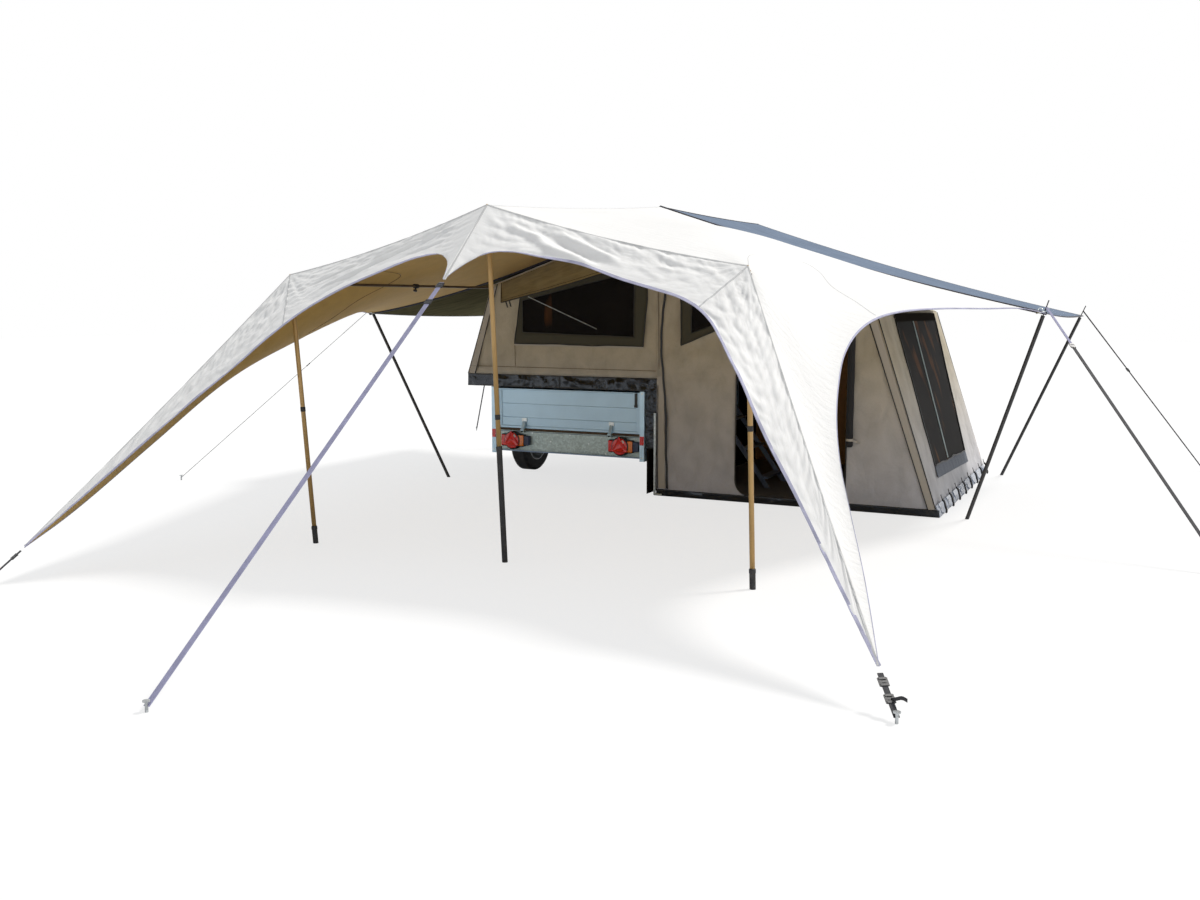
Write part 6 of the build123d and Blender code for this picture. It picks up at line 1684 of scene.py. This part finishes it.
def rounded_box(low, high, radius):
    """A box whose rear face (towards -y) is rounded: rings of a rounded rectangle, carried along y."""
    low, high = np.asarray(low, float), np.asarray(high, float)
    middle, half = (low + high) / 2, (high - low) / 2
    angle = np.linspace(0.0, 2 * pi, 40, endpoint=False) + pi / 40
    steps = ((high[1], 0.0), (low[1] + radius, 0.0), (low[1] + 0.3 * radius, 0.18 * radius),
             (low[1], 0.6 * radius), (low[1], 1.4 * radius))
    rings = []
    for y, inset in steps:
        a, b = half[0] - inset, half[2] - inset
        r = min(radius, a, b)
        x = np.sign(np.cos(angle)) * (a - r) + r * np.cos(angle)
        z = np.sign(np.sin(angle)) * (b - r) + r * np.sin(angle)
        rings.append(np.stack([middle[0] + x, np.full(40, y), middle[2] + z], -1))
    return capped(np.stack(rings), turned=True)


def triangle_reflector(x, y, z, side, thick):
    """A reflector with three equal sides, a point up, bevelled and with a raised rim."""
    rise = side * sin(radians(60))
    corners = np.array(((-side / 2, -rise / 3), (side / 2, -rise / 3), (0.0, 2 * rise / 3)))
    rings = []
    for depth, size in ((0.0, 1.0), (thick * 0.7, 1.0), (thick, 0.94), (thick, 0.86), (thick * 0.8, 0.82)):
        ring = np.concatenate([np.linspace(p, q, 6, endpoint=False)
                               for p, q in zip(corners, np.roll(corners, -1, axis=0))]) * size
        rings.append(np.stack([x + ring[:, 0], np.full(18, y - depth), z + ring[:, 1]], -1))
    return capped(np.stack(rings), turned=True)


class CARAVAN_OT_add_wheels(bpy.types.Operator):
    """Gives the wheels their finish and adds tread blocks, side ribs, wheel bolts and hub cap"""

    bl_idname = "caravan.add_wheels"
    bl_label = "Wheels"

    def execute(self, context):
        values = trailer_values()
        for side, name in ((-1, "left"), (1, "right")):
            dress("tyre_" + name, "rubber")
            dress("rim_" + name, "rim")
            low, high = tent_box("tyre_" + name)
            middle = (low + high) / 2
            self.tread(name, middle, (high[2] - low[2]) / 2, high[0] - low[0], values)
            self.bolts(name, side, middle)
        return {"FINISHED"}

    def tread(self, name, middle, radius, width, values):
        """Blocks in five rows round the tyre and shallow ribs on its sides."""
        blocks = []
        count = values.tread_blocks
        lanes = np.linspace(-0.40, 0.40, 5) * (width - 0.03)
        top = radius - 0.0005
        for lane, x in enumerate(lanes):
            for k in range(count):
                turn = 2 * pi * (k + 0.5 * (lane % 2)) / count
                half = pi / count * 0.72
                outer = top - 0.0035 * (abs(lane - 2) == 2)
                angles = np.array((turn - half, turn + half, turn + half, turn - half))
                radii = np.array((outer - values.tread_depth, outer - values.tread_depth, outer, outer))
                ring = np.stack([radii * np.cos(angles), radii * np.sin(angles)], -1)
                skew = 0.006 * np.array((-1, 1, 1, -1))
                ends = []
                for dx in (-0.0105, 0.0105):
                    ends.append(np.stack([middle[0] + x + dx + skew, middle[1] + ring[:, 0],
                                          middle[2] + ring[:, 1]], -1))
                faces = [[0, 1, 2, 3], [7, 6, 5, 4], [0, 4, 5, 1], [1, 5, 6, 2], [2, 6, 7, 3], [3, 7, 4, 0]]
                blocks.append((np.concatenate(ends), faces))
        for side in (-1, 1):
            x = middle[0] + side * width / 2
            for ring_radius in (radius - 0.045, radius - 0.075):
                blocks.append(ring_band((x, middle[1], middle[2]), ring_radius, 0.004, 0.0012))
        add_piece("tread_" + name, together(*blocks), "rubber", body=name + "_wheel",
                  smooth=False)

    def bolts(self, name, side, middle):
        """Four wheel bolts and the hub cap on the rim's outer face."""
        pieces = []
        face = middle[0] + side * 0.030
        for k in range(4):
            turn = 2 * pi * (k + 0.5) / 4
            place = (face, middle[1] + 0.075 * cos(turn), middle[2] + 0.075 * sin(turn))
            pieces.append(bolt(place, (side, 0, 0), 0.010, 0.014))
        tip = middle[0] + side * 0.0725
        pieces.append(turning((tip, middle[1], middle[2]), (tip + side, middle[1], middle[2]),
                              ((0.0, 0.045), (0.004, 0.044), (0.007, 0.036), (0.008, 0.02)), 24))
        add_piece("wheel_bolts_" + name, together(*pieces), "bright", body=name + "_wheel",
                  smooth=False)


def ring_band(middle, radius, width, thick):
    """A flat raised ring round an axis along x."""
    angle = np.linspace(0.0, 2 * pi, 64, endpoint=False)
    rings = []
    for dx, dr in ((-thick, -width), (thick, -width), (thick, width), (-thick, width)):
        rings.append(np.stack([np.full(64, middle[0] + dx), middle[1] + (radius + dr) * np.cos(angle),
                               middle[2] + (radius + dr) * np.sin(angle)], -1))
    points = np.stack(rings + rings[:1])
    return points.reshape(-1, 3), quads(5, 64, ring=True)


# Poles, straps and pegs
class CARAVAN_OT_add_poles(bpy.types.Operator):
    """Finishes the poles and adds their joints, clamps and end caps"""

    bl_idname = "caravan.add_poles"
    bl_label = "Poles"

    def execute(self, context):
        for node, name in (("pole_sleeves", "sleeve"), ("fly_poles", "black_pole")):
            dress(node, name)
        collars, poles = [], []
        for top, foot, low in ((POLE_LEFT, FOOT_LEFT, 0.10), (POLE_CENTRE, FOOT_CENTRE, 0.75),
                               (POLE_RIGHT, FOOT_RIGHT, 0.10)):
            along = unit(top - foot)
            place = foot + along * low
            reach = float(np.linalg.norm(top - foot))
            spike = ((-0.026, 0.016), (-0.022, 0.0145), (-0.021, 0.0045), (0.004, 0.0045), (0.006, 0.003))
            poles.append(turning(foot, top, ((low, 0.016), *((reach + a, r) for a, r in spike)), 28))
            collars.append(turning(place, place + along, ((-0.004, 0.0195), (0.0, 0.0210), (0.020, 0.0210),
                                                          (0.026, 0.0175))))
            middle = foot + along * 0.95
            collars.append(turning(middle, middle + along, ((0.0, 0.0163), (0.003, 0.0180), (0.030, 0.0180),
                                                            (0.034, 0.0163))))
        add_piece("sand_poles", together(*poles), "sand_pole", replaces=("canopy_poles",))
        for pole, foot, eave, inset in ((POLE_LEFT, FOOT_LEFT, BED_EAVE, 0.020),
                                        (POLE_RIGHT, FOOT_RIGHT, LIVING_EAVE, -0.020)):
            start = pole - 0.060 * unit(pole - foot)
            run = np.array((eave[0] + inset, 0.0, eave[1] - 0.022)) - start
            place, way = start + 0.535 * run, unit(run)
            collars.append(turning(place, place + way, ((0.0, 0.0115), (0.004, 0.0190), (0.056, 0.0190),
                                                        (0.060, 0.0115))))
            knob = place + 0.030 * way
            collars.append(turning(knob, knob + (0.0, -0.3, -1.0), ((0.010, 0.008), (0.030, 0.008),
                                                                    (0.032, 0.016), (0.046, 0.016))))
        add_piece("pole_collars", together(*collars), "sleeve")
        return {"FINISHED"}


def fly_corner(side, far):
    """Where a guy strap leaves a fly pole: a little way up the spike over the fly's corner."""
    top = fly_edge(side, float(far), 2)[-1] + np.array((-side * 0.020, -0.020 if far else 0.020, 0.006))
    row = FLY_FEET[far]
    foot = np.array((row[side > 0], row[2 + (side > 0)], 0.0))
    return top + unit(top - foot) * 0.045


def webbing_between(start, end, width, thick):
    """A taut strap, its width level."""
    run = end - start
    return strip(np.linspace(start, end, 12), (-run[1], run[0], 0.0), width, thick)


def buckle(start, end, place, width):
    """A slider on a strap: a frame round the webbing with its middle bar, at a distance from the start."""
    way = unit(end - start)
    middle = start + way * place
    level = unit(np.array((-way[1], way[0], 0.0)))
    blocks = []
    for shift, long in ((-0.016, 0.010), (0.0, 0.007), (0.016, 0.010)):
        at = middle + way * shift
        blocks.append(block_between(at - level * (width / 2 + 0.004), at + level * (width / 2 + 0.004),
                                    long, 0.011, way))
    for side in (-1, 1):
        edge = middle + level * side * (width / 2 + 0.003)
        blocks.append(block_between(edge - way * 0.021, edge + way * 0.021, 0.006, 0.011, level))
    return blocks


class CARAVAN_OT_add_straps(bpy.types.Operator):
    """Adds the guy straps as webbing with their sliders and loops, and finishes the pegs"""

    bl_idname = "caravan.add_straps"
    bl_label = "Straps and pegs"

    def execute(self, context):
        dress("ground_pegs", "peg")
        up = np.array((0.0, 0.0, STRAP_AT_PEG))
        pale, black, buckles = [], [], []
        under = np.array((0.0, 0.0, 0.004))
        start, end = TAIL_CENTRE - under, PEG_CENTRE + up
        pale.append(webbing_between(start, end, 0.030, 0.0035))
        for place in (0.030, 0.200):
            buckles += buckle(start, end, place, 0.030)
        for start, end, places in ((TAIL_LEFT - under, PEG_LEFT + up, (0.05,)),
                                   (TAIL_RIGHT - under, PEG_RIGHT + up, (0.045, 0.13))):
            black.append(webbing_between(start, end, 0.026, 0.0035))
            for place in places:
                buckles += buckle(start, end, place, 0.026)
        loose = np.array(((0.0, 0.0, 0.0), (0.030, -0.01, 0.012), (0.055, -0.01, 0.020),
                          (0.075, -0.005, 0.010)))
        black.append(strip(smooth_curve(TAIL_RIGHT + (TAIL_RIGHT - PEG_RIGHT) * -0.55 + loose, 10),
                           (0.0, 0.0, 1.0), 0.016, 0.003))
        for far in (0, 1):
            for side in (-1, 1):
                start = fly_corner(side, far)
                row = FLY_PEGS[far]
                end = np.array((row[side > 0], row[2 + (side > 0)], STRAP_AT_PEG))
                if side > 0 and not far:
                    change = start + unit(end - start) * 0.42
                    pale.append(webbing_between(start, change, 0.022, 0.0035))
                    black.append(webbing_between(change, end, 0.028, 0.0040))
                    buckles += buckle(start, end, 0.42, 0.026)
                else:
                    black.append(webbing_between(start, end, 0.016, 0.0035))
                    buckles += buckle(start, end, 0.85, 0.016)
        add_piece("guy_straps_black", together(*black), "black_webbing", smooth=False,
                  replaces=("guy_straps",))
        add_piece("guy_straps_pale", together(*pale), "strap_webbing", smooth=False)
        add_piece("strap_buckles", together(*buckles), "black_plastic", smooth=False)
        hooks = []
        for side in (-1, 1):
            place = fly_edge(side, 0.0, 2)[-1]
            turns = np.linspace(-0.6, 3.6, 20)[:, None]
            bend = np.cos(turns) * (side * 0.018, -0.008, 0.0) + np.sin(turns) * (0.0, 0.0, 0.018)
            hooks.append(tube(place + (side * -0.045, -0.020, 0.024) + bend, 0.0035, 8))
            hooks.append(block_between(place - (side * 0.010, 0.020, -0.014),
                                       place - (side * 0.075, 0.032, -0.002), 0.026, 0.010,
                                       np.array((0.0, 0.0, 1.0))))
        add_piece("fly_hooks", together(*hooks), "bright")
        return {"FINISHED"}


# Stage: how much of the floor is plain white to the camera
FLOOR_GLOW = 0.72


class CARAVAN_OT_add_stage(bpy.types.Operator):
    """Adds the pale floor, the soft light and the camera"""

    bl_idname = "caravan.add_stage"
    bl_label = "Stage"

    def execute(self, context):
        stage = context.scene.caravan_stage
        context.scene.view_settings.view_transform = "Standard"
        self.floor()
        self.sky(context, stage.sky)
        lamp = bpy.data.lights.new("sun", "SUN")
        lamp.energy = stage.sun
        lamp.angle = radians(SUN_SOFTNESS)
        lamp.color = (1.0, 0.975, 0.94)
        sun = bpy.data.objects.new("sun", lamp)
        sun.rotation_euler = (radians(SUN_TILT), 0.0, radians(SUN_TURN))
        context.scene.collection.objects.link(sun)
        lens = bpy.data.cameras.new("camera")
        lens.sensor_fit = "HORIZONTAL"
        lens.sensor_width = 36.0
        lens.lens = stage.lens
        lens.clip_end = 400.0
        camera = bpy.data.objects.new("camera", lens)
        camera.location = CAMERA_PLACE
        camera.rotation_euler = (radians(90 - CAMERA_PITCH), 0.0, radians(CAMERA_TURN))
        context.scene.collection.objects.link(camera)
        context.scene.camera = camera
        return {"FINISHED"}

    def floor(self):
        """A wide flat floor, pale for the camera."""
        lines = np.linspace(-60.0, 60.0, 13)
        x, y = np.meshgrid(lines, lines, indexing="ij")
        points = np.stack([x, y, np.full_like(x, -0.0005)], -1)
        mesh = bpy.data.meshes.new("floor")
        mesh.from_pydata(points.reshape(-1, 3).tolist(), [], quads(13, 13))
        look = Look("pale_floor", (0.90, 0.90, 0.90), 0.9, Specular_IOR_Level=0.1)
        share = look.nodes.new("ShaderNodeMath")
        share.operation = "MULTIPLY"
        look.give(share.inputs[0], look.add("LightPath").outputs["Is Camera Ray"])
        look.give(share.inputs[1], FLOOR_GLOW)
        glow = look.add("Emission", Color=(*WHITE, 1.0))
        look.end_in_mix(share.outputs["Value"], glow.outputs["Emission"])
        mesh.materials.append(look.material)
        floor = bpy.data.objects.new("floor", mesh)
        bpy.context.scene.collection.objects.link(floor)

    def sky(self, context, strength):
        """Even light all round, and plain white behind the object for camera and gloss."""
        world = bpy.data.worlds.new("studio")
        world.use_nodes = True
        nodes, links = world.node_tree.nodes, world.node_tree.links
        light = nodes["Background"]
        light.inputs["Color"].default_value = (0.93, 0.96, 1.0, 1.0)
        light.inputs["Strength"].default_value = strength
        white = nodes.new("ShaderNodeBackground")
        white.inputs["Strength"].default_value = 1.0
        white.inputs["Color"].default_value = (1.0, 1.0, 1.0, 1.0)
        path = nodes.new("ShaderNodeLightPath")
        either = nodes.new("ShaderNodeMath")
        either.operation = "MAXIMUM"
        links.new(path.outputs["Is Camera Ray"], either.inputs[0])
        links.new(path.outputs["Is Glossy Ray"], either.inputs[1])
        mix = nodes.new("ShaderNodeMixShader")
        links.new(either.outputs["Value"], mix.inputs["Fac"])
        links.new(light.outputs["Background"], mix.inputs[1])
        links.new(white.outputs["Background"], mix.inputs[2])
        links.new(mix.outputs["Shader"], nodes["World Output"].inputs["Surface"])
        context.scene.world = world


OPERATORS = (
    CARAVAN_OT_add_stage, CARAVAN_OT_add_canopy, CARAVAN_OT_add_fly, CARAVAN_OT_add_walls,
    CARAVAN_OT_add_windows, CARAVAN_OT_add_skirt, CARAVAN_OT_add_mattress, CARAVAN_OT_finish_trailer,
    CARAVAN_OT_add_lamps, CARAVAN_OT_add_wheels, CARAVAN_OT_add_poles, CARAVAN_OT_add_straps,
)


class CARAVAN_PT_panel(bpy.types.Panel):
    """Lists the caravan's pieces and the values that can be changed"""

    bl_label = "Folding caravan"
    bl_idname = "CARAVAN_PT_panel"
    bl_space_type = "VIEW_3D"
    bl_region_type = "UI"
    bl_category = "Caravan"

    def draw(self, context):
        for operator in OPERATORS:
            self.layout.operator(operator.bl_idname)
        scene = context.scene
        for values in (scene.caravan_cloth, scene.caravan_trailer, scene.caravan_stage):
            for name in values.bl_rna.properties.keys():
                if name not in ("rna_type", "name"):
                    self.layout.prop(values, name)


CLASSES = (CaravanCloth, CaravanTrailer, CaravanStage, *OPERATORS, CARAVAN_PT_panel)


def register():
    for each in CLASSES:
        bpy.utils.register_class(each)
    bpy.types.Scene.caravan_cloth = PointerProperty(type=CaravanCloth)
    bpy.types.Scene.caravan_trailer = PointerProperty(type=CaravanTrailer)
    bpy.types.Scene.caravan_stage = PointerProperty(type=CaravanStage)


def unregister():
    del bpy.types.Scene.caravan_stage
    del bpy.types.Scene.caravan_trailer
    del bpy.types.Scene.caravan_cloth
    for each in reversed(CLASSES):
        bpy.utils.unregister_class(each)


def main():
    register()
    for operator in OPERATORS:
        group, name = operator.bl_idname.split(".")
        getattr(getattr(bpy.ops, group), name)()
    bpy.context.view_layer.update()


if __name__ == "__main__":
    main()
